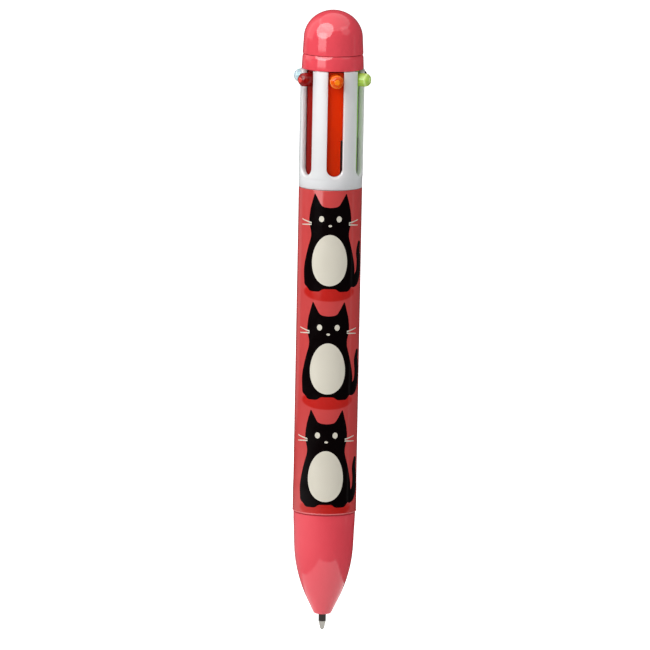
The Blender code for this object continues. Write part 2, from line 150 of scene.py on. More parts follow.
@dataclass(frozen=True)
class Finish:
    """A finish whose colour, gloss and surface waviness come from noise.

    Sizes of patterns are real sizes in millimetres.
    """

    name: str
    colour: str
    second_colour: str
    roughness: float
    roughness_spread: float = 0.05
    metallic: float = 0.0
    mottle_mm: float = 6.0
    smudge_mm: float = 3.0
    ripple_mm: float = 1.2
    ripple_depth_mm: float = 0.004
    ripple_direction: Direction = Direction.EVEN
    subsurface: float = 0.0
    subsurface_mm: float = 0.9
    subsurface_tint: tuple[float, float, float] = (1.0, 0.45, 0.25)
    transmission: float = 0.0
    specular: float = 0.5

    def build(self) -> bpy.types.Material:
        """Make the material.

        Returns:
            The material, with its nodes linked.
        """
        material = bpy.data.materials.new(self.name)
        material.use_nodes = True
        tree = material.node_tree
        shader = tree.nodes["Principled BSDF"]
        place = add_node(tree, "ShaderNodeTexCoord").outputs["Object"]
        self.set_sockets(shader)
        colour = self.colour_output(tree, place)
        tree.links.new(colour, shader.inputs["Base Color"])
        gloss = self.gloss_output(tree, place)
        tree.links.new(gloss, shader.inputs["Roughness"])
        normal = self.ripple_output(tree, place)
        tree.links.new(normal, shader.inputs["Normal"])
        return material

    def set_sockets(self, shader: bpy.types.Node) -> None:
        """Set what is the same all over on the shader's own sockets."""
        shader.inputs["Metallic"].default_value = self.metallic
        if not self.metallic:
            shader.inputs["Specular IOR Level"].default_value = self.specular
        if self.subsurface:
            shader.inputs["Subsurface Weight"].default_value = self.subsurface
            shader.inputs["Subsurface Radius"].default_value = self.subsurface_tint
            shader.inputs["Subsurface Scale"].default_value = self.subsurface_mm * MM
        if self.transmission:
            shader.inputs["Transmission Weight"].default_value = self.transmission

    def noise(
        self,
        tree: bpy.types.NodeTree,
        place: bpy.types.NodeSocket,
        size_mm: float,
        direction: Direction = Direction.EVEN,
        detail: float = 2.0,
    ) -> bpy.types.NodeSocket:
        """Noise whose grain has a real size.

        Args:
            tree: The material's tree.
            place: Object coordinates.
            size_mm: Width of one grain.
            direction: How the grain runs.
            detail: Octaves of finer grain.

        Returns:
            The noise value's output.
        """
        stretched = add_node(
            tree, "ShaderNodeMapping", None, {"Vector": place, "Scale": direction.value}
        )
        texture = add_node(
            tree,
            "ShaderNodeTexNoise",
            None,
            {
                "Vector": stretched.outputs["Vector"],
                "Scale": 1.0 / (size_mm * MM),
                "Detail": detail,
            },
        )
        return texture.outputs["Fac"]

    def colour_output(
        self, tree: bpy.types.NodeTree, place: bpy.types.NodeSocket
    ) -> bpy.types.NodeSocket:
        """Two near colours in faint clouds, as moulded pigment shows them."""
        cloud = self.noise(tree, place, self.mottle_mm)
        mix = add_node(
            tree,
            "ShaderNodeMix",
            {"data_type": "RGBA"},
            {"Factor": cloud, 6: linear(self.colour), 7: linear(self.second_colour)},
        )
        return mix.outputs[2]

    def gloss_output(
        self, tree: bpy.types.NodeTree, place: bpy.types.NodeSocket
    ) -> bpy.types.NodeSocket:
        """Roughness that wanders a little, as handled plastic's does."""
        smudge = self.noise(tree, place, self.smudge_mm, detail=4.0)
        spread = add_node(
            tree,
            "ShaderNodeMapRange",
            None,
            {
                "Value": smudge,
                "From Min": 0.3,
                "From Max": 0.7,
                "To Min": max(self.roughness - self.roughness_spread, 0.02),
                "To Max": self.roughness + self.roughness_spread,
            },
        )
        return spread.outputs["Result"]

    def ripple_output(
        self, tree: bpy.types.NodeTree, place: bpy.types.NodeSocket
    ) -> bpy.types.NodeSocket:
        """The slight waviness of a moulded or turned surface."""
        ripple = self.noise(tree, place, self.ripple_mm, self.ripple_direction)
        bump = add_node(
            tree,
            "ShaderNodeBump",
            None,
            {"Height": ripple, "Strength": 1.0, "Distance": self.ripple_depth_mm * MM},
        )
        return bump.outputs["Normal"]


@dataclass(frozen=True)
class ShadedBarrel(Finish):
    """Moulded barrel plastic with a printed deeper-red shade under each figure."""

    shade_colour: str = "#C01C14"
    shade_levels_mm: tuple[float, ...] = (82.0, 56.2, 30.5)
    shade_height_mm: float = 2.1
    shade_angle: float = 52.0
    shade_turns: tuple[float, ...] = (-6.0, 174.0)
    shade_edge: Point2 = (1.15, 0.80)
    shade_cover: float = 0.92

    def colour_output(
        self, tree: bpy.types.NodeTree, place: bpy.types.NodeSocket
    ) -> bpy.types.NodeSocket:
        """The plain colour with flat ovals of the shade colour printed on it."""
        plain = super().colour_output(tree, place)
        split = add_node(tree, "ShaderNodeSeparateXYZ", None, {"Vector": place})
        covered: bpy.types.NodeSocket | None = None
        for turn in self.shade_turns:
            across = self.bearing(tree, place, turn)
            for level_mm in self.shade_levels_mm:
                spot = self.oval(tree, across, split.outputs["Z"], level_mm)
                if covered is None:
                    covered = spot
                    continue
                both = add_node(
                    tree, "ShaderNodeMath", {"operation": "MAXIMUM"}, {0: covered, 1: spot}
                )
                covered = both.outputs["Value"]
        mix = add_node(
            tree,
            "ShaderNodeMix",
            {"data_type": "RGBA"},
            {"Factor": covered, 6: plain, 7: linear(self.shade_colour)},
        )
        return mix.outputs[2]

    def bearing(
        self, tree: bpy.types.NodeTree, place: bpy.types.NodeSocket, turn: float
    ) -> bpy.types.NodeSocket:
        """The square of how far round a place is from an oval's middle.

        Args:
            tree: The material's tree.
            place: Object coordinates.
            turn: Where the middle is, in degrees round the pen from the front.

        Returns:
            An output that is 1 at the oval's side ends.
        """
        ahead = outward(turn)
        side = Vector((-ahead.y, ahead.x, 0.0))
        sideways, forward = (
            add_node(
                tree, "ShaderNodeVectorMath", {"operation": "DOT_PRODUCT"}, {0: place, 1: way}
            )
            for way in (side, ahead)
        )
        angle = add_node(
            tree,
            "ShaderNodeMath",
            {"operation": "ARCTAN2"},
            {0: sideways.outputs["Value"], 1: forward.outputs["Value"]},
        )
        share = add_node(
            tree,
            "ShaderNodeMath",
            {"operation": "DIVIDE"},
            {0: angle.outputs["Value"], 1: math.radians(self.shade_angle)},
        )
        squared = add_node(
            tree,
            "ShaderNodeMath",
            {"operation": "MULTIPLY"},
            {0: share.outputs["Value"], 1: share.outputs["Value"]},
        )
        return squared.outputs["Value"]

    def oval(
        self,
        tree: bpy.types.NodeTree,
        across: bpy.types.NodeSocket,
        level: bpy.types.NodeSocket,
        level_mm: float,
    ) -> bpy.types.NodeSocket:
        """How much one oval covers, from 0 to 1.

        Args:
            tree: The material's tree.
            across: The squared share from the middle to the side ends.
            level: The place's height.
            level_mm: Height of the oval's middle line.

        Returns:
            The cover's output.
        """
        up = add_node(
            tree,
            "ShaderNodeMath",
            {"operation": "MULTIPLY_ADD"},
            {0: level, 1: 1.0 / (self.shade_height_mm * MM), 2: -level_mm / self.shade_height_mm},
        )
        squared = add_node(
            tree,
            "ShaderNodeMath",
            {"operation": "MULTIPLY_ADD"},
            {0: up.outputs["Value"], 1: up.outputs["Value"], 2: across},
        )
        edge = add_node(
            tree,
            "ShaderNodeMapRange",
            {"interpolation_type": "SMOOTHSTEP"},
            {
                "Value": squared.outputs["Value"],
                "From Min": self.shade_edge[0],
                "From Max": self.shade_edge[1],
                "To Max": self.shade_cover,
            },
        )
        return edge.outputs["Result"]


@dataclass(frozen=True)
class RailPlastic(Finish):
    """Tinted plastic with painted shade: its colour is darkened the farther down the slot it lies.
    """

    # Painted shade: how dark the foot is painted, and the levels where the darkening starts and
    # ends.
    painted_shade: float = 0.78
    painted_shade_start_mm: float = 128.0
    painted_shade_end_mm: float = 110.0

    def colour_output(
        self, tree: bpy.types.NodeTree, place: bpy.types.NodeSocket
    ) -> bpy.types.NodeSocket:
        """The rail's colour, darkened towards its foot as painted shade of the slot."""
        plain = super().colour_output(tree, place)
        split = add_node(tree, "ShaderNodeSeparateXYZ", None, {"Vector": place})
        share = add_node(
            tree,
            "ShaderNodeMapRange",
            {"interpolation_type": "SMOOTHSTEP"},
            {
                "Value": split.outputs["Z"],
                "From Min": self.painted_shade_start_mm * MM,
                "From Max": self.painted_shade_end_mm * MM,
            },
        )
        # Painted shade: multiply the colour darker towards the rail's foot.
        mix = add_node(
            tree,
            "ShaderNodeMix",
            {"data_type": "RGBA", "blend_type": "MULTIPLY"},
            {
                "Factor": share.outputs["Result"],
                6: plain,
                7: (self.painted_shade, self.painted_shade, self.painted_shade, 1.0),
            },
        )
        return mix.outputs[2]


@dataclass(frozen=True)
class KnobPlastic(Finish):
    """Tinted see-through plastic with painted highlights: a lighter glow colour is painted at its
    rim and its middle.
    """

    # The painted glow: its colour, the distances from the axis that it spans, and how strong the
    # rim ring is.
    glow_colour: str = "#FFFFFF"
    glow_start_mm: float = 8.50
    glow_end_mm: float = 9.70
    rim_glow: float = 0.9

    def colour_output(
        self, tree: bpy.types.NodeTree, place: bpy.types.NodeSocket
    ) -> bpy.types.NodeSocket:
        """The knob's colour, and the painted glow colour at some distances from the pen's axis."""
        plain = super().colour_output(tree, place)
        level_out = add_node(
            tree, "ShaderNodeVectorMath", {"operation": "MULTIPLY"}, {0: place, 1: (1.0, 1.0, 0.0)}
        )
        radius = add_node(
            tree, "ShaderNodeVectorMath", {"operation": "LENGTH"}, {0: level_out.outputs["Vector"]}
        )
        share = add_node(
            tree,
            "ShaderNodeMapRange",
            None,
            {
                "Value": radius.outputs["Value"],
                "From Min": self.glow_start_mm * MM,
                "From Max": self.glow_end_mm * MM,
            },
        )
        ramp = add_node(tree, "ShaderNodeValToRGB", None, {"Fac": share.outputs["Result"]})
        # Painted highlight: a glowing ring near the rim and a glowing middle on the domed end.
        rim, middle = self.rim_glow, 1.0
        steps = ((0.0, 0.0), (0.20, rim), (0.42, rim), (0.56, 0.0), (0.80, 0.0), (0.97, middle))
        stops = ramp.color_ramp.elements
        for number, (position, glow) in enumerate(steps):
            element = stops[number] if number < len(stops) else stops.new(position)
            element.position = position
            element.color = (glow, glow, glow, 1.0)
        mix = add_node(
            tree,
            "ShaderNodeMix",
            {"data_type": "RGBA"},
            {"Factor": ramp.outputs["Color"], 6: plain, 7: linear(self.glow_colour)},
        )
        return mix.outputs[2]


# ---------------------------------------------------------------------------
# Bench work


def focus(obj: bpy.types.Object) -> None:
    """Select one object alone and make it active."""
    bpy.ops.object.select_all(action="DESELECT")
    obj.select_set(True)
    bpy.context.view_layer.objects.active = obj


@contextmanager
def editing(obj: bpy.types.Object) -> Iterator[None]:
    """Edit an object with all of it selected, and leave edit mode afterwards."""
    focus(obj)
    bpy.ops.object.mode_set(mode="EDIT")
    bpy.ops.mesh.select_mode(type="VERT")
    bpy.ops.mesh.select_all(action="SELECT")
    yield
    bpy.ops.object.mode_set(mode="OBJECT")


def outward(degrees: float) -> Vector:
    """The level direction out of the pen at a place round it.

    Args:
        degrees: Turn from the front towards +X.

    Returns:
        A unit vector.
    """
    turn = math.radians(degrees)
    return Vector((math.sin(turn), -math.cos(turn), 0.0))


def rounded(corners: Sequence[Corner], closed: bool, count: int = 4) -> list[Point2]:
    """Round the corners of an outline.

    Args:
        corners: Points as (radius, level, rounding), all in millimetres.
        closed: Whether the last point joins the first.
        count: Steps in each rounded corner.

    Returns:
        The outline's points in metres.
    """
    points: list[Point2] = []
    total = len(corners)
    for i, (x, y, size) in enumerate(corners):
        here = Vector((x, y))
        at_end = not closed and i in (0, total - 1)
        if size <= 0.0 or at_end:
            points.append((x * MM, y * MM))
            continue
        back = Vector(corners[i - 1][:2]) - here
        ahead = Vector(corners[(i + 1) % total][:2]) - here
        reach = min(size, back.length * 0.48, ahead.length * 0.48)
        first = here + back.normalized() * reach
        last = here + ahead.normalized() * reach
        for step in range(count + 1):
            t = step / count
            spot = first * (1 - t) ** 2 + here * (2 * t * (1 - t)) + last * t**2
            points.append((spot.x * MM, spot.y * MM))
    return points


def ellipse_arc(
    centre: Point2, radii: Point2, start: float, end: float, count: int
) -> list[Corner]:
    """Corners along an ellipse, in millimetres, with no rounding of their own.

    Args:
        centre: Middle of the ellipse.
        radii: Its two half-widths.
        start: First angle in degrees; 0 points out and 90 points up.
        end: Last angle in degrees.
        count: Steps along the arc.

    Returns:
        The corners.
    """
    corners: list[Corner] = []
    for step in range(count + 1):
        turn = math.radians(start + (end - start) * step / count)
        x = centre[0] + radii[0] * math.cos(turn)
        y = centre[1] + radii[1] * math.sin(turn)
        corners.append((x, y, 0.0))
    return corners


def drawn_line(name: str, points: Sequence[Vector]) -> bpy.types.Object:
    """Draw a line by extruding one point from corner to corner.

    Args:
        name: The new object's name.
        points: The corners in order.

    Returns:
        The object, with edges only.
    """
    bpy.ops.object.select_all(action="DESELECT")
    bpy.ops.mesh.primitive_circle_add(vertices=3, radius=MM, location=(0.0, 0.0, 0.0))
    obj = bpy.context.view_layer.objects.active
    obj.name = obj.data.name = name
    with editing(obj):
        bpy.ops.mesh.merge(type="CENTER")
        bpy.ops.transform.translate(value=points[0])
        for last, point in zip(points, points[1:]):
            bpy.ops.mesh.extrude_region_move(TRANSFORM_OT_translate={"value": point - last})
    return obj


def turned(name: str, outline: Sequence[Point2], steps: int = ROUND_STEPS) -> bpy.types.Object:
    """Turn an outline of (radius, level) round the pen's axis.

    Args:
        name: The new object's name.
        outline: Points in metres, a ring unless both ends are on the axis.
        steps: Facets round the piece.

    Returns:
        The object, closed and facing out.
    """
    line = [Vector((radius, 0.0, level)) for radius, level in outline]
    if outline[0][0] > 0.0:
        line.append(line[0])
    obj = drawn_line(name, line)
    with editing(obj):
        bpy.ops.mesh.remove_doubles(threshold=MERGE)
        bpy.ops.mesh.spin(
            steps=steps, angle=math.tau, center=(0.0, 0.0, 0.0), axis=(0.0, 0.0, 1.0)
        )
        bpy.ops.mesh.select_all(action="SELECT")
        bpy.ops.mesh.remove_doubles(threshold=MERGE)
        bpy.ops.mesh.normals_make_consistent(inside=False)
    return obj


def plate(name: str, outline: Sequence[Point2], thickness: float) -> bpy.types.Object:
    """A flat outline in X and Y made solid, from Z = 0 up.

    Args:
        name: The new object's name.
        outline: Points in metres.
        thickness: Height of the solid.

    Returns:
        The object, closed and facing out.
    """
    line = [Vector((x, y, 0.0)) for x, y in outline]
    obj = drawn_line(name, line + line[:1])
    with editing(obj):
        bpy.ops.mesh.remove_doubles(threshold=MERGE)
        bpy.ops.mesh.edge_face_add()
        bpy.ops.mesh.extrude_region_move(TRANSFORM_OT_translate={"value": (0.0, 0.0, thickness)})
        bpy.ops.mesh.select_all(action="SELECT")
        bpy.ops.mesh.normals_make_consistent(inside=False)
    return obj


def wire(
    name: str, points: Sequence[Vector], radius: float, sides: int, capped: bool = True
) -> bpy.types.Object:
    """A round wire or tube along a line of points.

    Args:
        name: The new object's name.
        points: The middle line.
        radius: Half the wire's thickness.
        sides: Facets round the wire, an even number.
        capped: Whether the ends are closed.

    Returns:
        The object as a mesh.
    """
    curve = bpy.data.curves.new(name, "CURVE")
    curve.dimensions = "3D"
    curve.bevel_depth = radius
    curve.bevel_resolution = (sides - 4) // 2
    curve.use_fill_caps = capped
    spline = curve.splines.new("POLY")
    spline.points.add(len(points) - 1)
    for point, place in zip(spline.points, points):
        point.co = (*place, 1.0)
    obj = bpy.data.objects.new(name, curve)
    bpy.context.scene.collection.objects.link(obj)
    focus(obj)
    bpy.ops.object.convert(target="MESH")
    obj = bpy.context.view_layer.objects.active
    with editing(obj):
        bpy.ops.mesh.remove_doubles(threshold=MERGE)
        bpy.ops.mesh.normals_make_consistent(inside=False)
    return obj


def apply_modifier(
    obj: bpy.types.Object, kind: str, settings: dict[str, object]
) -> None:
    """Add a modifier, set it and apply it."""
    modifier = obj.modifiers.new(kind.lower(), kind)
    for name, value in settings.items():
        setattr(modifier, name, value)
    focus(obj)
    bpy.ops.object.modifier_apply(modifier=modifier.name)


def cut_or_join(obj: bpy.types.Object, operation: str, tool: bpy.types.Object) -> None:
    """Cut an object with a tool or join the two, and remove the tool."""
    apply_modifier(obj, "BOOLEAN", {"operation": operation, "solver": "EXACT", "object": tool})
    bpy.data.objects.remove(tool, do_unlink=True)


def soften_edges(obj: bpy.types.Object, width: float, angle: float = 40.0) -> None:
    """Round the sharp edges by a moulder's small radius."""
    apply_modifier(
        obj,
        "BEVEL",
        {
            "width": width,
            "segments": 2,
            "limit_method": "ANGLE",
            "angle_limit": math.radians(angle),
            "use_clamp_overlap": True,
        },
    )


def finish_piece(
    obj: bpy.types.Object,
    material: bpy.types.Material,
    body: str,
    slot: str,
    *nodes: str,
) -> bpy.types.Object:
    """Shade a piece, dress it, put it on its body and let it stand for CAD nodes.

    Args:
        obj: The piece.
        material: Its material.
        body: The body that it rides on.
        slot: The record's material slot; not used.
        nodes: CAD nodes that it stands for.

    Returns:
        The piece.
    """
    focus(obj)
    bpy.ops.object.shade_smooth_by_angle(angle=SHARP_ANGLE)
    obj.data.materials.clear()
    obj.data.materials.append(material)
    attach(obj, body)
    if nodes:
        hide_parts(*nodes)
    log.info("%s: %d faces, rides on %s", obj.name, len(obj.data.polygons), body)
    return obj


# ---------------------------------------------------------------------------
# Colours of the six writing units


class Colour(Enum):
    """The six ink colours, in order round the pen."""

    ORANGE = "orange"
    LIGHT_GREEN = "light_green"
    BLACK = "black"
    DARK_BLUE = "dark_blue"
    LIGHT_BLUE = "light_blue"
    RED = "red"


@dataclass(frozen=True)
class Tint:
    """The colours of one writing unit's rail, knob and painted glow, and how bright the painted rim
    glow is.
    """

    rail: str
    knob: str
    glow: str
    rim_glow: float = 0.9


# Each rail colour is the knob's plastic with painted light in it. It is darker for the shade in the
# slot, and lighter for light green, for light carried along the rail. The glow colours are painted
# highlights in the knobs.
TINTS: dict[Colour, Tint] = {
    Colour.ORANGE: Tint("#E83200", "#E85408", "#FF8A1C"),
    Colour.LIGHT_GREEN: Tint("#A4E84A", "#B4D65C", "#D2EC90"),
    Colour.BLACK: Tint("#0C0B0D", "#121113", "#1B1A1D"),
    Colour.DARK_BLUE: Tint("#0E2468", "#143486", "#2A56B4"),
    Colour.LIGHT_BLUE: Tint("#93B7C2", "#A9C6CF", "#CBDFE4"),
    Colour.RED: Tint("#930E05", "#8C0808", "#E04A42", 0.12),
}


# ---------------------------------------------------------------------------
# Shells


@dataclass
class Crown:
    """The domed cap and the collar under it."""

    dome_radius_mm: float = 6.97
    foot_radius_mm: float = 7.16
    equator_mm: float = 141.60
    top_mm: float = 148.20
    seam_mm: float = 137.95
    spigot_mm: float = 6.05
    wall_mm: float = 1.15
    collar_top_mm: float = 137.85
    collar_foot_mm: float = 134.40
    collar_top_radius_mm: float = 7.20
    collar_foot_radius_mm: float = 7.32
    spigot_foot_mm: float = 136.30
    rebate_mm: float = 6.95
    step_mm: float = 136.50
    bore_mm: float = 6.15

    def build(self, plastic: bpy.types.Material) -> None:
        """Turn the dome and the collar and dress them."""
        rise = self.top_mm - self.equator_mm
        outer = ellipse_arc((0.0, self.equator_mm), (self.dome_radius_mm, rise), 90.0, 0.0, 40)
        outer[0] = (0.0, self.top_mm, 0.0)
        inner_radii = (self.spigot_mm - self.wall_mm, rise - self.wall_mm)
        inner = ellipse_arc((0.0, self.equator_mm), inner_radii, 0.0, 90.0, 16)
        inner[-1] = (0.0, self.top_mm - self.wall_mm, 0.0)
        rim = [
            (self.foot_radius_mm, self.seam_mm, 0.16),
            (self.spigot_mm, self.seam_mm, 0.05),
            (self.spigot_mm, self.spigot_foot_mm, 0.15),
            (self.spigot_mm - self.wall_mm, self.spigot_foot_mm, 0.15),
        ]
        dome = turned("dome_shell", rounded(outer + rim + inner, False))
        finish_piece(dome, plastic, CASING, "pink_shell", "crown_dome")

        collar_outline = [
            (self.collar_top_radius_mm - 0.22, self.collar_top_mm, 0.08),
            (self.collar_top_radius_mm, self.collar_top_mm - 0.62, 0.30),
            (self.collar_foot_radius_mm, self.collar_foot_mm, 0.14),
            (self.rebate_mm, self.collar_foot_mm, 0.05),
            (self.rebate_mm, self.step_mm, 0.05),
            (self.bore_mm, self.step_mm, 0.05),
            (self.bore_mm, self.collar_top_mm, 0.08),
        ]
        collar = turned("collar_ring", rounded(collar_outline, True))
        finish_piece(collar, plastic, CASING, "pink_shell", "crown_collar")


@dataclass
class SlottedSleeve:
    """The white sleeve whose six slots guide the knobs."""

    outer_mm: float = 7.55
    base_mm: float = 7.47
    spigot_mm: float = 6.85
    bore_mm: float = 6.35
    top_mm: float = 134.25
    tongue_mm: float = 136.35
    step_mm: float = 109.00
    foot_mm: float = 106.35
    spigot_end_mm: float = 98.50
    slot_width_mm: float = 3.80
    slot_bottom_mm: float = 109.50
    slot_reach_mm: float = 5.40
    flare_mm: float = 0.42
    past_mm: float = 0.30

    def slot_tool(self) -> bpy.types.Object:
        """Model the tool that cuts the front slot and flares its outer edges.

        Returns:
            The tool, standing at the front.
        """
        narrow = self.slot_outline(0.0)
        wide = self.slot_outline(self.flare_mm + self.past_mm)
        flare_depth = (self.flare_mm + self.past_mm) * MM
        depth = (self.outer_mm + self.past_mm - self.slot_reach_mm) * MM
        tool = plate("slot_tool", narrow, depth)
        with editing(tool):
            bpy.ops.mesh.bisect(
                plane_co=(0.0, 0.0, depth - flare_depth),
                plane_no=(0.0, 0.0, 1.0),
                threshold=MERGE,
            )
        spots = [Vector(spot) for spot in narrow]
        for vertex in tool.data.vertices:
            if vertex.co.z > depth - flare_depth / 2:
                gaps = [(spot - vertex.co.xy).length for spot in spots]
                vertex.co.x, vertex.co.y = wide[gaps.index(min(gaps))]
        stand = Matrix.Rotation(math.radians(90.0), 4, "X")
        tool.data.transform(Matrix.Translation((0.0, -self.slot_reach_mm * MM, 0.0)) @ stand)
        return tool

    def all_slot_tools(self) -> bpy.types.Object:
        """The six slots' tools as one object, for one clean cut."""
        tools = []
        for unit in range(len(Colour)):
            tools.append(self.slot_tool())
            turn = Matrix.Rotation(math.radians(UNIT_TURN * unit), 4, "Z")
            tools[-1].data.transform(turn)
        focus(tools[0])
        for tool in tools:
            tool.select_set(True)
        bpy.ops.object.join()
        return tools[0]

    def slot_outline(self, extra_mm: float) -> list[Point2]:
        """The slot's outline, made wider on each side by an amount."""
        half = self.slot_width_mm / 2
        centre = (0.0, self.slot_bottom_mm + half)
        lip = self.tongue_mm + 1.0
        wide = half + extra_mm
        outline = [(wide, lip, 0.0), (-wide, lip, 0.0)]
        outline += ellipse_arc(centre, (wide, wide), 180.0, 360.0, 24)
        return rounded(outline, True)

    def build(self, plastic: bpy.types.Material) -> None:
        """Turn the sleeve, cut its slots, flare their outer edges and dress it."""
        outline = [
            (self.spigot_mm, self.tongue_mm, 0.06),
            (self.spigot_mm, self.top_mm, 0.0),
            (self.outer_mm, self.top_mm, 0.10),
            (self.outer_mm, self.step_mm, 0.30),
            (self.base_mm, self.step_mm - 0.40, 0.30),
            (self.base_mm, self.foot_mm, 0.10),
            (self.spigot_mm, self.foot_mm, 0.0),
            (self.spigot_mm, self.spigot_end_mm, 0.15),
            (self.bore_mm, self.spigot_end_mm, 0.08),
            (self.bore_mm, self.tongue_mm, 0.06),
        ]
        sleeve = turned("slotted_shell", rounded(outline, True))
        cut_or_join(sleeve, "DIFFERENCE", self.all_slot_tools())
        soften_edges(sleeve, 0.07 * MM)
        finish_piece(sleeve, plastic, CASING, "white_shell", "slotted_sleeve")


@dataclass
class Barrel:
    """The grip tube between nose and sleeve."""

    radius_mm: float = 7.49
    foot_radius_mm: float = 7.54
    top_mm: float = 106.25
    foot_mm: float = 28.90
    swell_mm: float = 36.60
    swell_length_mm: float = 2.00
    nose_bore_mm: float = 6.55
    nose_depth_mm: float = 8.20
    bore_mm: float = 6.00
    shoulder_mm: float = 63.85
    spring_bore_mm: float = 6.40
    sleeve_bore_mm: float = 6.95
    sleeve_depth_mm: float = 8.15
    rim_mm: float = 0.30
    rim_proud_mm: float = 0.03

    def swell_at(self, level: float) -> float:
        """How much the barrel is thicker at a level, near its foot.

        Args:
            level: Height in metres.

        Returns:
            The growth in radius, in metres.
        """
        share = (self.swell_mm - level / MM) / self.swell_length_mm
        return (self.foot_radius_mm - self.radius_mm) * MM * min(max(share, 0.0), 1.0)

    def build(self, plastic: bpy.types.Material, painted_highlight_plastic: bpy.types.Material) -> None:
        """Turn the barrel and its rim and dress them.

        Args:
            plastic: The barrel's printed plastic.
            painted_highlight_plastic: The paler pink of the rim at its foot, a painted highlight
                along the seam.
        """
        nose_stop = self.foot_mm + self.nose_depth_mm
        sleeve_stop = self.top_mm - self.sleeve_depth_mm
        outline = [
            (self.radius_mm, self.top_mm, 0.12),
            (self.radius_mm, self.swell_mm, 0.60),
            (self.foot_radius_mm, self.swell_mm - self.swell_length_mm, 0.60),
            (self.foot_radius_mm, self.foot_mm, 0.04),
            (self.nose_bore_mm, self.foot_mm, 0.06),
            (self.nose_bore_mm, nose_stop, 0.06),
            (self.bore_mm, nose_stop, 0.06),
            (self.bore_mm, self.shoulder_mm, 0.05),
            (self.spring_bore_mm, self.shoulder_mm, 0.05),
            (self.spring_bore_mm, sleeve_stop, 0.05),
            (self.sleeve_bore_mm, sleeve_stop, 0.05),
            (self.sleeve_bore_mm, self.top_mm, 0.08),
        ]
        barrel = turned("barrel_tube", rounded(outline, True))
        finish_piece(barrel, plastic, CASING, "red_shell", "barrel")
        inside = self.foot_radius_mm - self.rim_mm
        outside = self.foot_radius_mm + self.rim_proud_mm
        foot = [
            (inside, self.foot_mm, 0.0),
            (outside, self.foot_mm, 0.05),
            (outside, self.foot_mm + self.rim_mm, 0.05),
            (inside, self.foot_mm + self.rim_mm, 0.0),
        ]
        # The rim's paler colour is a painted highlight along the seam.
        rim = turned("barrel_foot_rim", rounded(foot, True))
        finish_piece(rim, painted_highlight_plastic, CASING, "red_shell")


@dataclass
class Nose:
    """The bullet-shaped nose with its funnel inside."""

    seam_mm: float = 28.80
    end_mm: float = 4.05
    hole_mm: float = 1.42
    bullet: tuple[Point2, ...] = (
        (7.32, 28.80),
        (7.29, 26.80),
        (7.15, 23.80),
        (7.00, 20.20),
        (6.73, 17.35),
        (6.19, 14.50),
        (5.37, 11.60),
        (4.28, 8.75),
        (2.88, 5.80),
        (2.25, 4.45),
        (1.95, 4.05),
    )

    def outer_line(self, steps: int = 6) -> list[Corner]:
        """A smooth curve through the bullet's measured stations.

        Args:
            steps: Points between one station and the next.

        Returns:
            Corners in millimetres, from the seam down.
        """
        stations = [Vector(station) for station in self.bullet]
        corners: list[Corner] = []
        for i in range(len(stations) - 1):
            before = stations[max(i - 1, 0)]
            start, end = stations[i], stations[i + 1]
            after = stations[min(i + 2, len(stations) - 1)]
            for step in range(steps):
                t = step / steps
                spot = (
                    start * 2.0
                    + (end - before) * t
                    + (before * 2.0 - start * 5.0 + end * 4.0 - after) * t**2
                    + (start * 3.0 - before - end * 3.0 + after) * t**3
                ) * 0.5
                corners.append((spot.x, spot.y, 0.0))
        corners.append((*self.bullet[-1], 0.25))
        return corners

    def build(self, plastic: bpy.types.Material) -> None:
        """Turn the nose and dress it."""
        outer = self.outer_line()
        edge, top = outer[0][0], outer[0][1]
        outer[:1] = [(edge - 0.26, top, 0.06), (edge, top - 0.30, 0.12)]
        inner = [
            (self.hole_mm, self.end_mm, 0.10),
            (3.05, 9.00, 0.80),
            (4.15, 12.00, 0.80),
            (5.05, 15.00, 0.80),
            (5.70, 18.50, 0.80),
            (5.85, 22.50, 0.80),
            (5.85, self.seam_mm + 8.0, 0.10),
            (6.35, self.seam_mm + 8.0, 0.10),
            (6.45, self.seam_mm + 7.6, 0.10),
            (6.45, self.seam_mm, 0.0),
        ]
        nose = turned("nose_shell", rounded(outer + inner, True))
        finish_piece(nose, plastic, CASING, "pink_shell", "nose_cone")


# ---------------------------------------------------------------------------
# Print


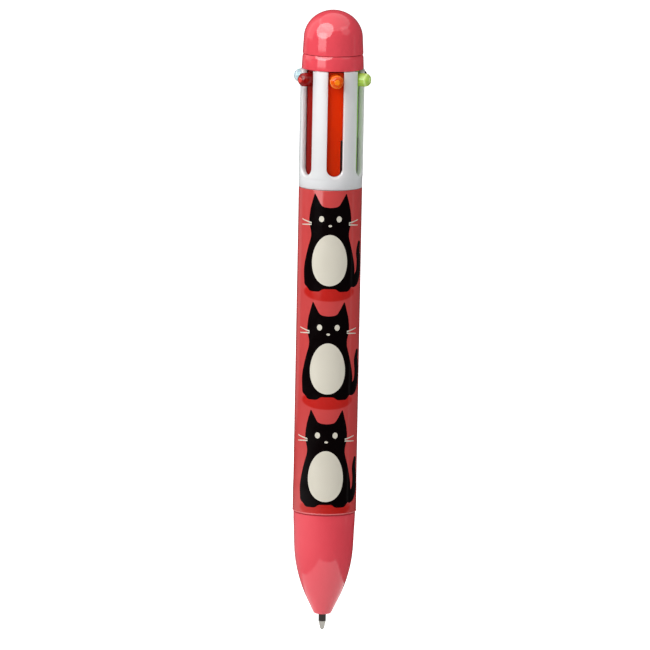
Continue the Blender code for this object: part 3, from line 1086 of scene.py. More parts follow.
@dataclass
class PrintedFigures:
    """A plain sitting cat in flat ink, three in a column, at the front and the back.

    Each shape is drawn flat in millimetres, wrapped once, and copied to its places.
    """

    barrel: Barrel
    ink_mm: float = 0.018
    feet_levels_mm: tuple[float, ...] = (82.3, 56.5, 30.75)
    turns: tuple[float, ...] = (-6.0, 174.0)
    strip_mm: float = 0.5
    sink_mm: float = 0.004
    layer_share: float = 0.8

    def silhouette(self) -> list[Point2]:
        """The sitting cat: round head, upright ears, pear-shaped body, four paws."""
        half = [
            (0.0, 19.9, 0.0),
            (2.0, 20.1, 0.9),
            (3.9, 23.4, 0.5),
            (5.1, 19.4, 1.0),
            (5.5, 16.4, 2.2),
            (4.5, 13.4, 1.6),
            (5.7, 10.0, 3.0),
            (7.0, 5.2, 3.6),
            (6.6, 1.3, 1.6),
            (5.6, 0.75, 0.6),
            (4.9, -0.1, 0.6),
            (2.4, -0.1, 0.6),
            (1.6, 0.6, 0.6),
            (0.0, 0.6, 0.0),
        ]
        mirrored = [(-x, y, size) for x, y, size in reversed(half[1:-1])]
        return rounded(half + mirrored, True, 5)

    def tail(self) -> list[Point2]:
        """A tail that curls up beside the body and narrows to a round end."""
        middle = [(5.6, 2.1), (7.2, 2.3), (8.7, 4.0), (8.9, 6.9), (8.2, 9.3), (9.0, 11.6)]
        half_width = (1.5, 1.5, 1.3, 1.15, 1.0, 0.7)
        left, right = [], []
        for i, (x, y) in enumerate(middle):
            back = Vector(middle[max(i - 1, 0)])
            ahead = Vector(middle[min(i + 1, len(middle) - 1)])
            along = (ahead - back).normalized()
            side = Vector((-along.y, along.x)) * half_width[i]
            left.append((x + side.x, y + side.y, 1.4))
            right.append((x - side.x, y - side.y, 1.4))
        return rounded(left + right[::-1], True, 4)

    def oval(self, centre: Point2, radii: Point2, pinch: float = 0.0) -> list[Point2]:
        """An oval, narrower at the top if pinched.

        Args:
            centre: Middle in millimetres.
            radii: Half-width and half-height in millimetres.
            pinch: Share by which the top is narrower.

        Returns:
            The outline in metres.
        """
        points = []
        for x, y, _ in ellipse_arc(centre, radii, 0.0, 352.0, 44):
            narrower = 1.0 - pinch * (y - centre[1]) / radii[1]
            points.append(((centre[0] + (x - centre[0]) * narrower) * MM, y * MM))
        return points

    def whisker(self, side: float, lift: float) -> list[Point2]:
        """A thin tapered stroke beside the face.

        Args:
            side: 1 for the right, -1 for the left.
            lift: How far its outer end is raised, in millimetres.

        Returns:
            The outline in metres.
        """
        root, tip = (side * 4.7, 16.0 + lift * 0.3), (side * 7.9, 16.2 + lift)
        return rounded(
            [
                (root[0], root[1] - 0.16, 0.0),
                (tip[0], tip[1] - 0.09, 0.0),
                (tip[0], tip[1] + 0.09, 0.0),
                (root[0], root[1] + 0.16, 0.0),
            ],
            True,
        )

    def film(self, name: str, outline: Sequence[Point2], layer: int) -> bpy.types.Object:
        """Lay a flat outline round a straight tube as a thin film of ink.

        Args:
            name: The piece's name.
            outline: The flat shape in metres.
            layer: 1 for ink on the plastic, 2 for ink on ink.

        Returns:
            The wrapped film, with its feet at level 0 and its middle at the front.
        """
        film = plate(name, outline, self.ink_mm * MM)
        cuts: list[tuple[Vector, Vector]] = []
        for axis in (Vector((1.0, 0.0, 0.0)), Vector((0.0, 1.0, 0.0))):
            reach = [Vector((x, y, 0.0)).dot(axis) for x, y in outline]
            low, high = min(reach), max(reach)
            strips = max(int((high - low) / (self.strip_mm * MM)), 1)
            cuts += [(axis * (low + (high - low) * i / strips), axis) for i in range(1, strips)]
        with editing(film):
            for place, normal in cuts:
                bpy.ops.mesh.select_all(action="SELECT")
                bpy.ops.mesh.bisect(plane_co=place, plane_no=normal)
        barrel_radius = self.barrel.radius_mm * MM
        lift_mm = (layer - 1) * self.ink_mm * self.layer_share - self.sink_mm
        base = barrel_radius + lift_mm * MM
        for vertex in film.data.vertices:
            x, y, depth = vertex.co
            angle = x / barrel_radius
            radius = base + depth
            vertex.co = (radius * math.sin(angle), -radius * math.cos(angle), y)
        return film

    def place(
        self, film: bpy.types.Object, label: str, turn: float, feet: float
    ) -> bpy.types.Object:
        """Copy a film to a place on the barrel, and let it follow the barrel's swell.

        Args:
            film: The wrapped film.
            label: What the copy's name ends in.
            turn: Degrees round the pen from the front.
            feet: Height of the figure's feet in millimetres.

        Returns:
            The copy.
        """
        copy = bpy.data.objects.new(f"{film.name}_{label}", film.data.copy())
        bpy.context.scene.collection.objects.link(copy)
        lift = Matrix.Translation((0.0, 0.0, feet * MM))
        copy.data.transform(lift @ Matrix.Rotation(math.radians(turn), 4, "Z"))
        for vertex in copy.data.vertices:
            swell = self.barrel.swell_at(vertex.co.z)
            out = Vector((vertex.co.x, vertex.co.y, 0.0)).normalized()
            vertex.co += out * swell
        return copy

    def build(self, black: bpy.types.Material, cream: bpy.types.Material) -> None:
        """Print every figure."""
        shapes = [
            ("print_cat", self.silhouette(), 1, black),
            ("print_tail", self.tail(), 1, black),
            ("print_bib", self.oval((0.0, 7.4), (4.35, 6.1), 0.10), 2, cream),
            ("print_left_eye", self.oval((-2.1, 17.2), (0.62, 0.72)), 2, cream),
            ("print_right_eye", self.oval((2.1, 17.2), (0.62, 0.72)), 2, cream),
            ("print_nose", self.oval((0.0, 15.6), (0.42, 0.26)), 2, cream),
        ]
        for side, word in ((-1.0, "left"), (1.0, "right")):
            for lift, level in ((0.55, "upper"), (-0.75, "lower")):
                stroke = self.whisker(side, lift)
                shapes.append((f"print_{word}_{level}_whisker", stroke, 2, cream))
        for name, outline, layer, ink in shapes:
            film = self.film(name, outline, layer)
            for turn in self.turns:
                face = "front" if abs(turn) < 90.0 else "back"
                for row, feet in enumerate(self.feet_levels_mm, start=1):
                    copy = self.place(film, f"{face}_{row}", turn, feet)
                    finish_piece(copy, ink, CASING, "red_shell")
            bpy.data.objects.remove(film, do_unlink=True)


# ---------------------------------------------------------------------------
# Inside


@dataclass
class Works:
    """The slider core and the spring plate."""

    disc_top_mm: float = 136.20
    disc_foot_mm: float = 134.60
    disc_mm: float = 6.05
    hub_mm: float = 3.75
    hub_foot_mm: float = 105.50
    pillar_mm: float = 1.50
    pin_mm: float = 0.90
    plate_top_mm: float = 65.95
    plate_foot_mm: float = 63.95
    plate_mm: float = 6.25
    fin_mm: float = 6.20
    fin_root_mm: float = 2.75
    fin_half_mm: float = 0.35
    slot_half_mm: float = 1.50
    slot_in_mm: float = 3.40
    slot_out_mm: float = 4.30

    def build(self, acetal: bpy.types.Material) -> None:
        """Turn the core and the plate, add fins and slots, and dress them."""
        outline = [
            (0.0, self.disc_top_mm, 0.0),
            (self.disc_mm, self.disc_top_mm, 0.15),
            (self.disc_mm, self.disc_foot_mm, 0.15),
            (self.hub_mm, self.disc_foot_mm, 0.20),
            (self.hub_mm, self.hub_foot_mm, 0.20),
            (self.pillar_mm, self.hub_foot_mm, 0.30),
            (self.pillar_mm, self.plate_top_mm + 0.1, 0.08),
            (self.pin_mm, self.plate_top_mm + 0.1, 0.05),
            (self.pin_mm, self.plate_foot_mm - 0.6, 0.20),
            (0.0, self.plate_foot_mm - 0.6, 0.0),
        ]
        core = turned("core_star", rounded(outline, False), 96)
        half = self.fin_half_mm
        low, high = self.hub_foot_mm + 0.4, self.disc_foot_mm + 0.8
        fin = [(-half, low, 0.0), (half, low, 0.0), (half, high, 0.0), (-half, high, 0.0)]
        stand = Matrix.Rotation(math.radians(90.0), 4, "X")
        root = Matrix.Translation((0.0, -self.fin_root_mm * MM, 0.0))
        for unit in range(len(Colour)):
            blade = plate("fin_tool", rounded(fin, True), (self.fin_mm - self.fin_root_mm) * MM)
            turn = Matrix.Rotation(math.radians(UNIT_TURN * (unit + 0.5)), 4, "Z")
            blade.data.transform(turn @ root @ stand)
            cut_or_join(core, "UNION", blade)
        finish_piece(core, acetal, CASING, "guide_grey", "slider_core")

        ring = [
            (self.plate_mm, self.plate_top_mm, 0.15),
            (self.plate_mm, self.plate_foot_mm, 0.15),
            (self.pin_mm + 0.1, self.plate_foot_mm, 0.05),
            (self.pin_mm + 0.1, self.plate_top_mm, 0.05),
        ]
        disc = turned("spring_disc", rounded(ring, True), 96)
        radii = (self.slot_half_mm,) * 2
        outer = ellipse_arc((0.0, -self.slot_out_mm), radii, 180.0, 360.0, 16)
        inner = ellipse_arc((0.0, -self.slot_in_mm), radii, 0.0, 180.0, 16)
        for unit in range(len(Colour)):
            cutter = plate("slot_tool", rounded(outer + inner, True), 4.0 * MM)
            turn = Matrix.Rotation(math.radians(UNIT_TURN * unit), 4, "Z")
            lift = Matrix.Translation((0.0, 0.0, (self.plate_foot_mm - 1.0) * MM))
            cutter.data.transform(lift @ turn)
            cut_or_join(disc, "DIFFERENCE", cutter)
        finish_piece(disc, acetal, CASING, "guide_grey", "spring_plate")


@dataclass
class WritingUnit:
    """One colour's slider, refill and spring."""

    colour: Colour
    turn: float
    lowered: bool
    ink_share: float
    travel_mm: float = 20.50
    ring_mm: float = 4.30
    knob_level_mm: float = 132.15
    knob_mm: float = 1.58
    knob_end_mm: float = 9.70
    rail_mm: float = 6.15
    rail_half_mm: float = 2.15
    rail_top_mm: float = 134.05
    rail_foot_mm: float = 104.00
    notch_top_mm: float = 118.00
    notch_half_mm: float = 1.45
    seat_mm: float = 1.80
    foot_mm: float = 102.50
    web_half_mm: float = 1.50
    web_in_mm: float = 4.12
    flange_in_mm: float = 5.00
    peg_mm: float = 0.70
    peg_length_mm: float = 2.40
    tube_low_mm: float = 9.10
    tube_high_mm: float = 81.90
    tube_mm: float = 1.35
    tube_wall_mm: float = 0.40
    ink_mm: float = 0.88
    ink_low_mm: float = 12.30
    ink_full_mm: float = 61.70
    shank_mm: Point2 = (2.15, 5.60)
    ball_mm: float = 0.35
    spring_foot_mm: float = 65.95
    coil_mm: float = 1.75
    wire_mm: float = 0.15
    wire_gap_mm: float = 0.05
    bend_low_mm: float = 12.0
    bend_high_mm: float = 72.0

    @property
    def slider_body(self) -> str:
        """Name of the body that the knob moves."""
        return f"slider_{self.colour.value}"

    @property
    def tip_body(self) -> str:
        """Name of the body that the refill's tip is on."""
        return f"tip_{self.colour.value}"

    @property
    def lift_mm(self) -> float:
        """How far the refill stands above its lowered place."""
        return 0.0 if self.lowered else self.travel_mm

    def lean_mm(self, level_mm: float) -> float:
        """How far the refill's middle line is moved in at a level above its ball."""
        if not self.lowered:
            return 0.0
        share = (self.bend_high_mm - level_mm) / (self.bend_high_mm - self.bend_low_mm)
        share = min(max(share, 0.0), 1.0)
        return self.ring_mm * share * share * (3.0 - 2.0 * share)

    def middle(self, level_mm: float) -> Vector:
        """The refill's middle line at a level above its ball."""
        place = outward(self.turn) * (self.ring_mm - self.lean_mm(level_mm)) * MM
        return place + Vector((0.0, 0.0, (level_mm + self.lift_mm) * MM))

    def slider_mesh(self) -> bpy.types.Object:
        """Model a raised slider at the front: rail, knob, seat and peg."""
        edge = math.degrees(math.asin(self.rail_half_mm / self.rail_mm))
        face = ellipse_arc((0.0, 0.0), (self.rail_mm,) * 2, 270.0 - edge, 270.0 + edge, 16)
        plan = face + [
            (self.rail_half_mm, -self.flange_in_mm, 0.05),
            (self.web_half_mm, -self.flange_in_mm, 0.05),
            (self.web_half_mm, -self.web_in_mm, 0.10),
            (-self.web_half_mm, -self.web_in_mm, 0.10),
            (-self.web_half_mm, -self.flange_in_mm, 0.05),
            (-self.rail_half_mm, -self.flange_in_mm, 0.05),
        ]
        height = (self.rail_top_mm - self.rail_foot_mm) * MM
        slider = plate("slider_blank", rounded(plan, True, 2), height)
        slider.data.transform(Matrix.Translation((0.0, 0.0, self.rail_foot_mm * MM)))

        notch = [
            (self.notch_half_mm, -7.5, 0.0),
            (3.5, -7.5, 0.0),
            (3.5, -3.5, 0.0),
            (self.notch_half_mm, -3.5, 0.0),
        ]
        depth = (self.notch_top_mm - self.rail_foot_mm + 1.0) * MM
        cutter = plate("notch_tool", rounded(notch, True), depth)
        cutter.data.transform(Matrix.Translation((0.0, 0.0, (self.rail_foot_mm - 1.0) * MM)))
        cut_or_join(slider, "DIFFERENCE", cutter)
        soften_edges(slider, 0.06 * MM)

        knob = self.knob_mesh()
        cut_or_join(slider, "UNION", knob)
        seat = [
            (0.0, 2.70, 0.0),
            (self.seat_mm, 2.70, 0.0),
            (self.seat_mm, 0.0, 0.10),
            (self.peg_mm, 0.0, 0.06),
            (self.peg_mm, -self.peg_length_mm, 0.25),
            (0.0, -self.peg_length_mm, 0.0),
        ]
        boss = turned("seat_tool", rounded(seat, False), SMALL_STEPS)
        place = (0.0, -self.ring_mm * MM, self.foot_mm * MM)
        boss.data.transform(Matrix.Translation(place))
        cut_or_join(slider, "UNION", boss)
        return slider

    def knob_mesh(self) -> bpy.types.Object:
        """Model the knob: a stubby peg with a domed end and a root that flares a little."""
        bulge = 1.25
        outline = ellipse_arc(
            (0.0, self.knob_end_mm - bulge), (self.knob_mm, bulge), 90.0, 0.0, 14
        )
        outline[:6] = [
            (0.0, self.knob_end_mm, 0.0),
            (0.60, self.knob_end_mm - 0.03, 0.10),
            (0.74, self.knob_end_mm - 0.26, 0.06),
            (0.92, self.knob_end_mm - 0.28, 0.06),
            (1.00, self.knob_end_mm - 0.20, 0.06),
        ]
        outline += [
            (self.knob_mm, self.rail_mm + 0.35, 0.30),
            (self.knob_mm + 0.18, self.rail_mm - 0.05, 0.0),
            (self.knob_mm + 0.18, self.rail_mm - 0.55, 0.0),
            (0.0, self.rail_mm - 0.55, 0.0),
        ]
        knob = turned("knob_tool", rounded(outline, False), SMALL_STEPS)
        lay_down = Matrix.Rotation(math.radians(90.0), 4, "X")
        level = Matrix.Translation((0.0, 0.0, self.knob_level_mm * MM))
        knob.data.transform(level @ lay_down)
        return knob

    def build_slider(
        self,
        pattern: bpy.types.Object,
        rail: bpy.types.Material,
        knob: bpy.types.Material,
    ) -> None:
        """Copy the modelled slider to this unit's place and dress it.

        Args:
            pattern: The slider as modelled, raised and at the front.
            rail: Material of the rail.
            knob: Material of the knob.
        """
        name = f"{self.colour.value}_slider"
        slider = bpy.data.objects.new(name, pattern.data.copy())
        bpy.context.scene.collection.objects.link(slider)
        turn = Matrix.Rotation(math.radians(self.turn), 4, "Z")
        drop = Matrix.Translation((0.0, 0.0, (self.lift_mm - self.travel_mm) * MM))
        slider.data.transform(drop @ turn)
        node = f"slider_{self.colour.value}"
        finish_piece(slider, rail, self.slider_body, node, node)
        slider.data.materials.append(knob)
        for face in slider.data.polygons:
            if face.center.xy.length > (self.rail_mm + 0.05) * MM:
                face.material_index = 1

    def bend(self, obj: bpy.types.Object) -> None:
        """Take a piece off its body and bake its place into its mesh."""
        obj.parent = None
        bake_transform(obj)

    def build_refill(
        self, finishes: dict[str, bpy.types.Material], ink: bpy.types.Material
    ) -> None:
        """Make the tube, its ink, the metal tip and the ball.

        Args:
            finishes: Materials by a short name.
            ink: This colour's ink.
        """
        word = self.colour.value
        steps = 56
        span = self.tube_high_mm - self.tube_low_mm
        line = [self.middle(self.tube_low_mm + span * i / steps) for i in range(steps + 1)]
        tube = wire(f"{word}_tube", line, self.tube_mm * MM, 24, False)
        wall = {"thickness": self.tube_wall_mm * MM, "offset": -1.0}
        apply_modifier(tube, "SOLIDIFY", wall)
        finish_piece(tube, finishes["tube"], self.slider_body, "refill_tube", f"refill_tube_{word}")
        self.bend(tube)

        span = self.ink_full_mm * self.ink_share
        line = [self.middle(self.ink_low_mm + span * i / steps) for i in range(steps + 1)]
        column = wire(f"{word}_ink_column", line, self.ink_mm * MM, 20)
        finish_piece(column, ink, self.slider_body, f"ink_{word}", f"ink_{word}")
        self.bend(column)

        tip_outline = [
            (0.0, 11.80, 0.0),
            (0.80, 11.80, 0.15),
            (0.87, 9.00, 0.0),
            (1.15, 9.00, 0.12),
            (1.15, 5.80, 0.10),
            (0.91, 5.45, 0.06),
            (0.91, 4.55, 0.03),
            (0.86, 4.45, 0.03),
            (0.91, 4.35, 0.03),
            (0.91, 2.18, 0.05),
            (0.76, 1.60, 0.10),
            (0.49, 0.36, 0.04),
            (0.42, 0.27, 0.03),
            (0.385, 0.27, 0.02),
            (0.385, 0.72, 0.0),
            (0.0, 0.90, 0.0),
        ]
        base = Matrix.Translation(self.middle(0.0))
        tip = turned(f"{word}_tip", rounded(tip_outline, False), 64)
        tip.data.transform(base)
        finish_piece(tip, finishes["nickel"], self.tip_body, "nickel_silver", f"refill_tip_{word}")
        # Painted reflection: the shank above the cone gets the dark metal.
        self.paint_shank_dark_reflection(tip, finishes["dark_nickel"])

        ball_outline = ellipse_arc((0.0, self.ball_mm), (self.ball_mm,) * 2, 90.0, -90.0, 20)
        ball_outline[0] = (0.0, 2 * self.ball_mm, 0.0)
        ball_outline[-1] = (0.0, 0.0, 0.0)
        ball = turned(f"{word}_ball", rounded(ball_outline, False), 32)
        ball.data.transform(base)
        finish_piece(ball, finishes["carbide"], self.tip_body, "carbide_ball", f"tip_ball_{word}")

    def paint_shank_dark_reflection(self, tip: bpy.types.Object, dark: bpy.types.Material) -> None:
        """Paint the straight shank above the cone dark: a painted reflection of the dark room round
        the pen.

        Args:
            tip: The turned tip.
            dark: The metal painted dark for that reflection.
        """
        low, high = ((level + self.lift_mm) * MM for level in self.shank_mm)
        tip.data.materials.append(dark)
        for face in tip.data.polygons:
            if low < face.center.z < high:
                face.material_index = 1

    def build_spring(self, steel: bpy.types.Material) -> None:
        """Wind the return spring, with close turns at both ends."""
        word = self.colour.value
        margin = self.wire_mm + self.wire_gap_mm
        low = self.spring_foot_mm + margin
        high = self.foot_mm - self.travel_mm + self.lift_mm - margin
        turns, per_turn = 22, 18
        count = turns * per_turn
        points = []
        for step in range(count + 1):
            share = step / count
            angle = math.tau * turns * share
            level = low + (high - low) * self.pitch_share(share)
            centre = self.ring_mm - self.lean_mm(level - self.lift_mm)
            out = outward(self.turn)
            side = Vector((0.0, 0.0, 1.0)).cross(out)
            off = out * math.cos(angle) + side * math.sin(angle)
            place = out * centre + off * self.coil_mm
            points.append(place * MM + Vector((0.0, 0.0, level * MM)))
        spring = wire(f"{word}_spring", points, self.wire_mm * MM, 10)
        finish_piece(spring, steel, CASING, "spring_steel", f"return_spring_{word}")
        if self.lowered:
            spring.parent = None
            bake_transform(spring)
            return
        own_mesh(spring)

    def pitch_share(self, share: float) -> float:
        """Share of the spring's height that is wound by a share of its turns."""
        closed_turns, closed_height = 0.09, 0.022
        if share < closed_turns:
            return share / closed_turns * closed_height
        if share > 1.0 - closed_turns:
            return 1.0 - (1.0 - share) / closed_turns * closed_height
        middle = (share - closed_turns) / (1.0 - 2.0 * closed_turns)
        return closed_height + middle * (1.0 - 2.0 * closed_height)


# ---------------------------------------------------------------------------
# Studio


@dataclass
class Studio:
    """A pale floor, soft lights and the camera."""

    camera_distance: float = 2.20
    frame_width: float = 0.15355
    azimuth: float = -7.0
    elevation: float = 8.9
    roll: float = 1.10
    shift_right_mm: float = -0.67
    shift_up_mm: float = -0.89
    room_light: float = 0.44
    room_reflected: float = 0.05
    floor_white: float = 0.80
    floor_lift: float = 0.87
    card_size: Point2 = (0.056, 0.062)
    card_place: Point2 = (0.002, -0.012)
    card_turn: float = 10.5
    card_light: float = 1.45
    haze_radius: float = 0.26
    haze_place: Point2 = (-0.155, 0.0)
    haze_light: float = 0.85
    crown_level: float = 0.143

    def build(self) -> None:
        """Make everything that isn't part of the pen."""
        bpy.context.scene.view_settings.view_transform = "Standard"
        self.build_world()
        self.build_floor()
        self.build_lights()
        self.build_camera()

    def build_world(self) -> None:
        """White behind the pen, an even room light, and a dim room in its reflections."""
        world = bpy.data.worlds.new("studio")
        world.use_nodes = True
        bpy.context.scene.world = world
        tree = world.node_tree
        tree.nodes.clear()
        rays = add_node(tree, "ShaderNodeLightPath")
        room, dim, white = (
            add_node(
                tree, "ShaderNodeBackground", None, {"Color": colour, "Strength": strength}
            ).outputs[0]
            for colour, strength in (
                ((0.97, 0.985, 1.0, 1.0), self.room_light),
                ((1.0, 1.0, 1.0, 1.0), self.room_reflected),
                ((1.0, 1.0, 1.0, 1.0), 1.05),
            )
        )
        seen = add_node(
            tree, "ShaderNodeMixShader", None, {0: rays.outputs["Is Glossy Ray"], 1: room, 2: dim}
        )
        mix = add_node(
            tree,
            "ShaderNodeMixShader",
            None,
            {0: rays.outputs["Is Camera Ray"], 1: seen.outputs[0], 2: white},
        )
        add_node(tree, "ShaderNodeOutputWorld", None, {"Surface": mix.outputs[0]})

    def build_floor(self) -> None:
        """A wide white floor, clear from below, and two cards that only reflections show."""
        floor = self.level_sheet("floor", (16.0, 16.0), (0.0, 0.0, -0.0003), 0.0)
        floor.visible_glossy = False
        material = bpy.data.materials.new("floor_white")
        material.use_nodes = True
        tree = material.node_tree
        shader = tree.nodes["Principled BSDF"]
        shader.inputs["Base Color"].default_value = (*(self.floor_white,) * 3, 1.0)
        shader.inputs["Roughness"].default_value = 0.9
        shader.inputs["Specular IOR Level"].default_value = 0.1
        shader.inputs["Emission Color"].default_value = (1.0, 1.0, 1.0, 1.0)
        rays = add_node(tree, "ShaderNodeLightPath")
        lifted = add_node(
            tree,
            "ShaderNodeMath",
            {"operation": "MULTIPLY"},
            {0: rays.outputs["Is Camera Ray"], 1: self.floor_lift},
        )
        tree.links.new(lifted.outputs["Value"], shader.inputs["Emission Strength"])
        side = add_node(tree, "ShaderNodeNewGeometry")
        clear = add_node(tree, "ShaderNodeBsdfTransparent")
        mix = add_node(
            tree,
            "ShaderNodeMixShader",
            None,
            {0: side.outputs["Backfacing"], 1: shader.outputs[0], 2: clear.outputs[0]},
        )
        tree.links.new(mix.outputs[0], tree.nodes["Material Output"].inputs["Surface"])
        floor.data.materials.append(material)

        self.build_card("card", self.card_size, (*self.card_place, -0.0001), self.card_turn)
        wide = (2 * self.haze_radius,) * 2
        self.build_card("haze_card", wide, (*self.haze_place, -0.0002), 0.0, soft=True)

    def build_card(
        self, name: str, size: Point2, place: Corner, turn: float, soft: bool = False
    ) -> None:
        """Lay a bright card on the floor that only reflections show.

        Args:
            name: The card's name.
            size: Width and depth in metres.
            place: Middle of the card.
            turn: Degrees that it is turned by.
            soft: Whether it fades out from its middle.
        """
        card = self.level_sheet(name, size, place, turn)
        card.visible_camera = card.visible_diffuse = card.visible_shadow = False
        material = bpy.data.materials.new(f"{name}_white")
        material.use_nodes = True
        tree = material.node_tree
        glow = add_node(tree, "ShaderNodeEmission", None, {"Strength": self.card_light})
        if soft:
            self.fade_out(tree, glow, place)
        tree.links.new(glow.outputs[0], tree.nodes["Material Output"].inputs["Surface"])
        card.data.materials.append(material)

    def fade_out(self, tree: bpy.types.NodeTree, glow: bpy.types.Node, place: Corner) -> None:
        """Let a card's light fade out with distance from its middle.

        Args:
            tree: The card's node tree.
            glow: Its emission node.
            place: The card's middle.
        """
        spot = add_node(tree, "ShaderNodeTexCoord").outputs["Object"]
        off = add_node(
            tree, "ShaderNodeVectorMath", {"operation": "DISTANCE"}, {0: spot, 1: place}
        )
        share = add_node(
            tree,
            "ShaderNodeMapRange",
            {"interpolation_type": "SMOOTHERSTEP"},
            {
                "Value": off.outputs["Value"],
                "From Min": self.haze_radius,
                "From Max": 0.0,
                "To Max": self.haze_light,
            },
        )
        tree.links.new(share.outputs["Result"], glow.inputs["Strength"])

    def level_sheet(
        self, name: str, size: Point2, place: Corner, turn: float
    ) -> bpy.types.Object:
        """Lay a flat sheet under the pen and mark it as not part of the object.

        Args:
            name: The sheet's name.
            size: Width and depth in metres.
            place: Its middle.
            turn: Degrees that it is turned by.

        Returns:
            The sheet.
        """
        bpy.ops.object.select_all(action="DESELECT")
        bpy.ops.mesh.primitive_plane_add(size=1.0, location=(0.0, 0.0, 0.0))
        sheet = bpy.context.view_layer.objects.active
        sheet.name = name
        scale = Matrix.Diagonal((size[0], size[1], 1.0, 1.0))
        spin = Matrix.Rotation(math.radians(turn), 4, "Z")
        sheet.data.transform(Matrix.Translation(place) @ spin @ scale)
        sheet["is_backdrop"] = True
        return sheet

    def softbox(
        self,
        name: str,
        azimuth: float,
        elevation: float,
        distance: float,
        size: Point2,
        radiance: float,
        shape: str = "RECTANGLE",
        glossy: bool = True,
        diffuse: bool = True,
    ) -> None:
        """Add one soft light that faces the crown.

        Args:
            name: The light's name.
            azimuth: Degrees round the pen from the front, + to the right.
            elevation: Degrees above the crown's level.
            distance: Metres from the pen.
            size: Width and height of the light.
            radiance: How bright its face is, where 1 is white.
            shape: RECTANGLE or ELLIPSE.
            glossy: Whether it shows in reflections.
            diffuse: Whether it lights matt surfaces.
        """
        light = bpy.data.lights.new(name, "AREA")
        light.shape = shape
        light.size, light.size_y = size
        area = size[0] * size[1] * (math.pi / 4 if shape == "ELLIPSE" else 1.0)
        light.energy = radiance * math.pi * area
        obj = bpy.data.objects.new(name, light)
        bpy.context.scene.collection.objects.link(obj)
        rise = math.radians(elevation)
        back = outward(azimuth) * math.cos(rise) + Vector((0.0, 0.0, math.sin(rise)))
        target = Vector((0.0, 0.0, self.crown_level))
        obj.location = target + back * distance
        obj.rotation_mode = "QUATERNION"
        obj.rotation_quaternion = back.to_track_quat("Z", "Y")
        obj.visible_camera = False
        obj.visible_glossy = glossy
        obj.visible_diffuse = diffuse

    def build_lights(self) -> None:
        """A big soft key at the left, and panels that show only as reflections."""
        self.softbox("key", -57.0, 30.0, 0.90, (0.75, 0.75), 3.2, glossy=False)
        self.softbox("overhead", 0.0, 88.0, 0.70, (1.2, 1.2), 0.60, glossy=False)
        self.softbox("octa_face", -48.5, 35.0, 0.60, (0.76, 0.80), 6.0, "ELLIPSE", diffuse=False)
        self.softbox("strip_face", -50.0, 8.5, 0.60, (0.36, 0.35), 3.8, diffuse=False)
        self.softbox("left_face", -112.0, 25.0, 0.80, (0.60, 0.90), 1.0, diffuse=False)
        self.softbox("overhead_face", 20.0, 84.0, 0.70, (1.5, 1.5), 1.25, "ELLIPSE", diffuse=False)
        self.softbox("right_face", 50.0, 34.0, 0.90, (0.55, 0.60), 1.0, "ELLIPSE", diffuse=False)
        self.softbox("right_rim", 84.0, -5.0, 0.90, (0.10, 0.50), 0.4, diffuse=False)
        self.softbox("left_rim", -140.0, 12.0, 0.90, (0.40, 1.20), 0.3, diffuse=False)

    def build_camera(self) -> None:
        """A long lens, a little above the pen's middle and a little to its left."""
        data = bpy.data.cameras.new("camera")
        data.sensor_width = 36.0
        data.lens = data.sensor_width * self.camera_distance / self.frame_width
        data.clip_start, data.clip_end = 0.05, 40.0
        camera = bpy.data.objects.new("camera", data)
        bpy.context.scene.collection.objects.link(camera)
        rise = math.radians(self.elevation)
        back = outward(self.azimuth) * math.cos(rise) + Vector((0.0, 0.0, math.sin(rise)))
        turn = back.to_track_quat("Z", "Y")
        right = turn @ Vector((1.0, 0.0, 0.0))
        up = turn @ Vector((0.0, 1.0, 0.0))
        low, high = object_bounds()
        middle = Vector((0.0, 0.0, (low.z + high.z) / 2))
        aim = middle + right * self.shift_right_mm * MM + up * self.shift_up_mm * MM
        camera.location = aim + back * self.camera_distance
        camera.rotation_mode = "QUATERNION"
        roll = Matrix.Rotation(math.radians(self.roll), 3, "Z").to_quaternion()
        camera.rotation_quaternion = turn @ roll
        bpy.context.scene.camera = camera


# ---------------------------------------------------------------------------
# The pen


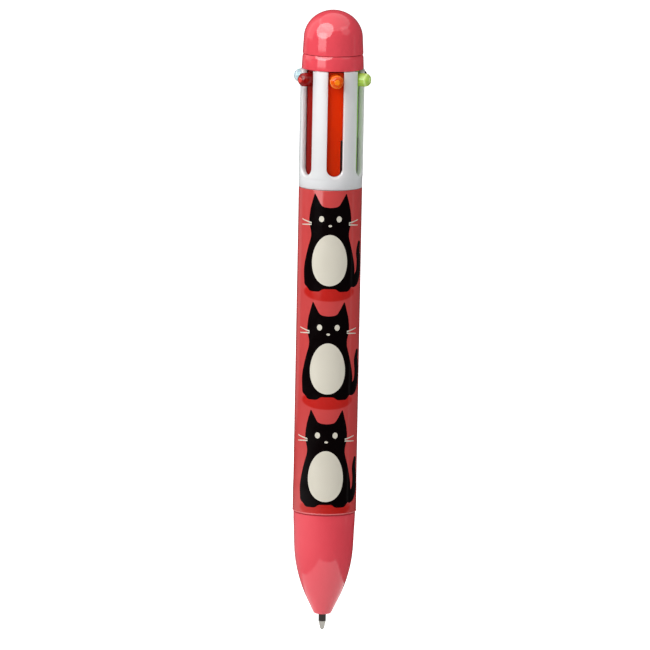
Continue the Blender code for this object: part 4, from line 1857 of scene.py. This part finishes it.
def shell_finishes() -> dict[str, bpy.types.Material]:
    """Make the finishes of the casing, the works and the refills.

    Returns:
        Materials by a short name.
    """
    named = {
        # Injection-moulded ABS: deep even colour, high gloss, a very faint orange peel.
        "coral": Finish("coral_abs", "#EB4C58", "#ED505C", 0.09, 0.03),
        "white": Finish(
            "cold_white_abs",
            "#EEEFEF",
            "#F0F1F1",
            0.22,
            0.05,
            subsurface=0.7,
            subsurface_mm=4.0,
            subsurface_tint=(1.0, 0.98, 0.95),
            specular=0.4,
        ),
        "barrel": ShadedBarrel("printed_red_abs", "#CA4544", "#CD4847", 0.12, 0.03),
        # The barrel's foot rim, paler than the rest: a painted highlight along the seam.
        "edge": Finish("pink_abs_painted_highlight", "#DE6568", "#E26E70", 0.30, 0.05),
        # Screen-printed ink: dense, with a slight texture that softens the gloss.
        "black": Finish(
            "black_print_ink", "#070203", "#0A0405", 0.16, 0.04, ripple_mm=0.5, specular=0.12
        ),
        "cream": Finish("cream_print_ink", "#D9D3C3", "#DED8C8", 0.20, 0.05, ripple_mm=0.5),
        # Acetal: waxy, with no gloss to speak of.
        "acetal": Finish("grey_acetal", "#8A8C90", "#909296", 0.42, 0.06),
        # Drawn spring wire: bright, with fine draw marks along it.
        "steel": Finish(
            "drawn_spring_wire", "#B9BABC", "#C4C5C7", 0.26, 0.06, metallic=1.0, ripple_mm=0.25
        ),
        # Extruded polypropylene tube: clear and a little milky.
        "tube": Finish("clear_polypropylene", "#E6EAEA", "#ECEFEF", 0.18, transmission=0.7),
        # Nickel silver turned on a lathe: fine rings, bright on the cone.
        "nickel": Finish(
            "turned_nickel_silver",
            "#928F89",
            "#9C9992",
            0.20,
            0.05,
            metallic=1.0,
            ripple_mm=0.10,
            ripple_depth_mm=0.002,
            ripple_direction=Direction.ROUND,
        ),
        # The same metal, dark and smooth: its dark colour is a painted reflection of a dark room,
        # used on the shank.
        "dark_nickel": Finish(
            "nickel_silver_painted_dark_reflection",
            "#2C2927",
            "#3A3633",
            0.16,
            0.04,
            metallic=1.0,
            ripple_mm=0.30,
            ripple_depth_mm=0.003,
            ripple_direction=Direction.ALONG,
        ),
        # Sintered carbide, ground to a mirror.
        "carbide": Finish("tungsten_carbide", "#7D7E82", "#85868A", 0.12, 0.03, metallic=1.0),
    }
    return {name: finish.build() for name, finish in named.items()}


def build_units(finishes: dict[str, bpy.types.Material]) -> None:
    """Build the six writing units.

    Args:
        finishes: Materials by a short name.
    """
    pattern: bpy.types.Object | None = None
    for order, colour in enumerate(Colour):
        unit = WritingUnit(
            colour, UNIT_TURN * order, colour is Colour.DARK_BLUE, 1.0 - INK_STEP * order
        )
        tint = TINTS[colour]
        # Tinted polystyrene: glossy, and light goes a little way into it. In the slot it lies in
        # the sleeve's shade, so its colour has painted shade that grows deeper towards its foot,
        # and it is duller there.
        rail = RailPlastic(
            f"{colour.value}_shaded_polystyrene",
            tint.rail,
            tint.rail,
            0.34,
            0.05,
            subsurface=0.25,
            specular=0.06,
        ).build()
        knob = KnobPlastic(
            f"{colour.value}_clear_polystyrene",
            tint.knob,
            tint.knob,
            0.08,
            0.02,
            subsurface=0.35,
            specular=0.28,
            glow_colour=tint.glow,
            rim_glow=tint.rim_glow,
        ).build()
        # The ink takes the rail's colour, painted shade included, and the knob's.
        ink = Finish(f"{colour.value}_oil_ink", tint.rail, tint.knob, 0.10, 0.03).build()
        if pattern is None:
            pattern = unit.slider_mesh()
        unit.build_slider(pattern, rail, knob)
        unit.build_refill(finishes, ink)
        unit.build_spring(finishes["steel"])
    bpy.data.objects.remove(pattern, do_unlink=True)


def main() -> None:
    """Build the pen's looks, then the studio round it."""
    logging.basicConfig(level=logging.INFO, format="%(name)s: %(message)s")
    finishes = shell_finishes()
    Crown().build(finishes["coral"])
    SlottedSleeve().build(finishes["white"])
    barrel = Barrel()
    barrel.build(finishes["barrel"], finishes["edge"])
    Nose().build(finishes["coral"])
    PrintedFigures(barrel).build(finishes["black"], finishes["cream"])
    Works().build(finishes["acetal"])
    build_units(finishes)
    Studio().build()


if __name__ == "__main__":
    main()
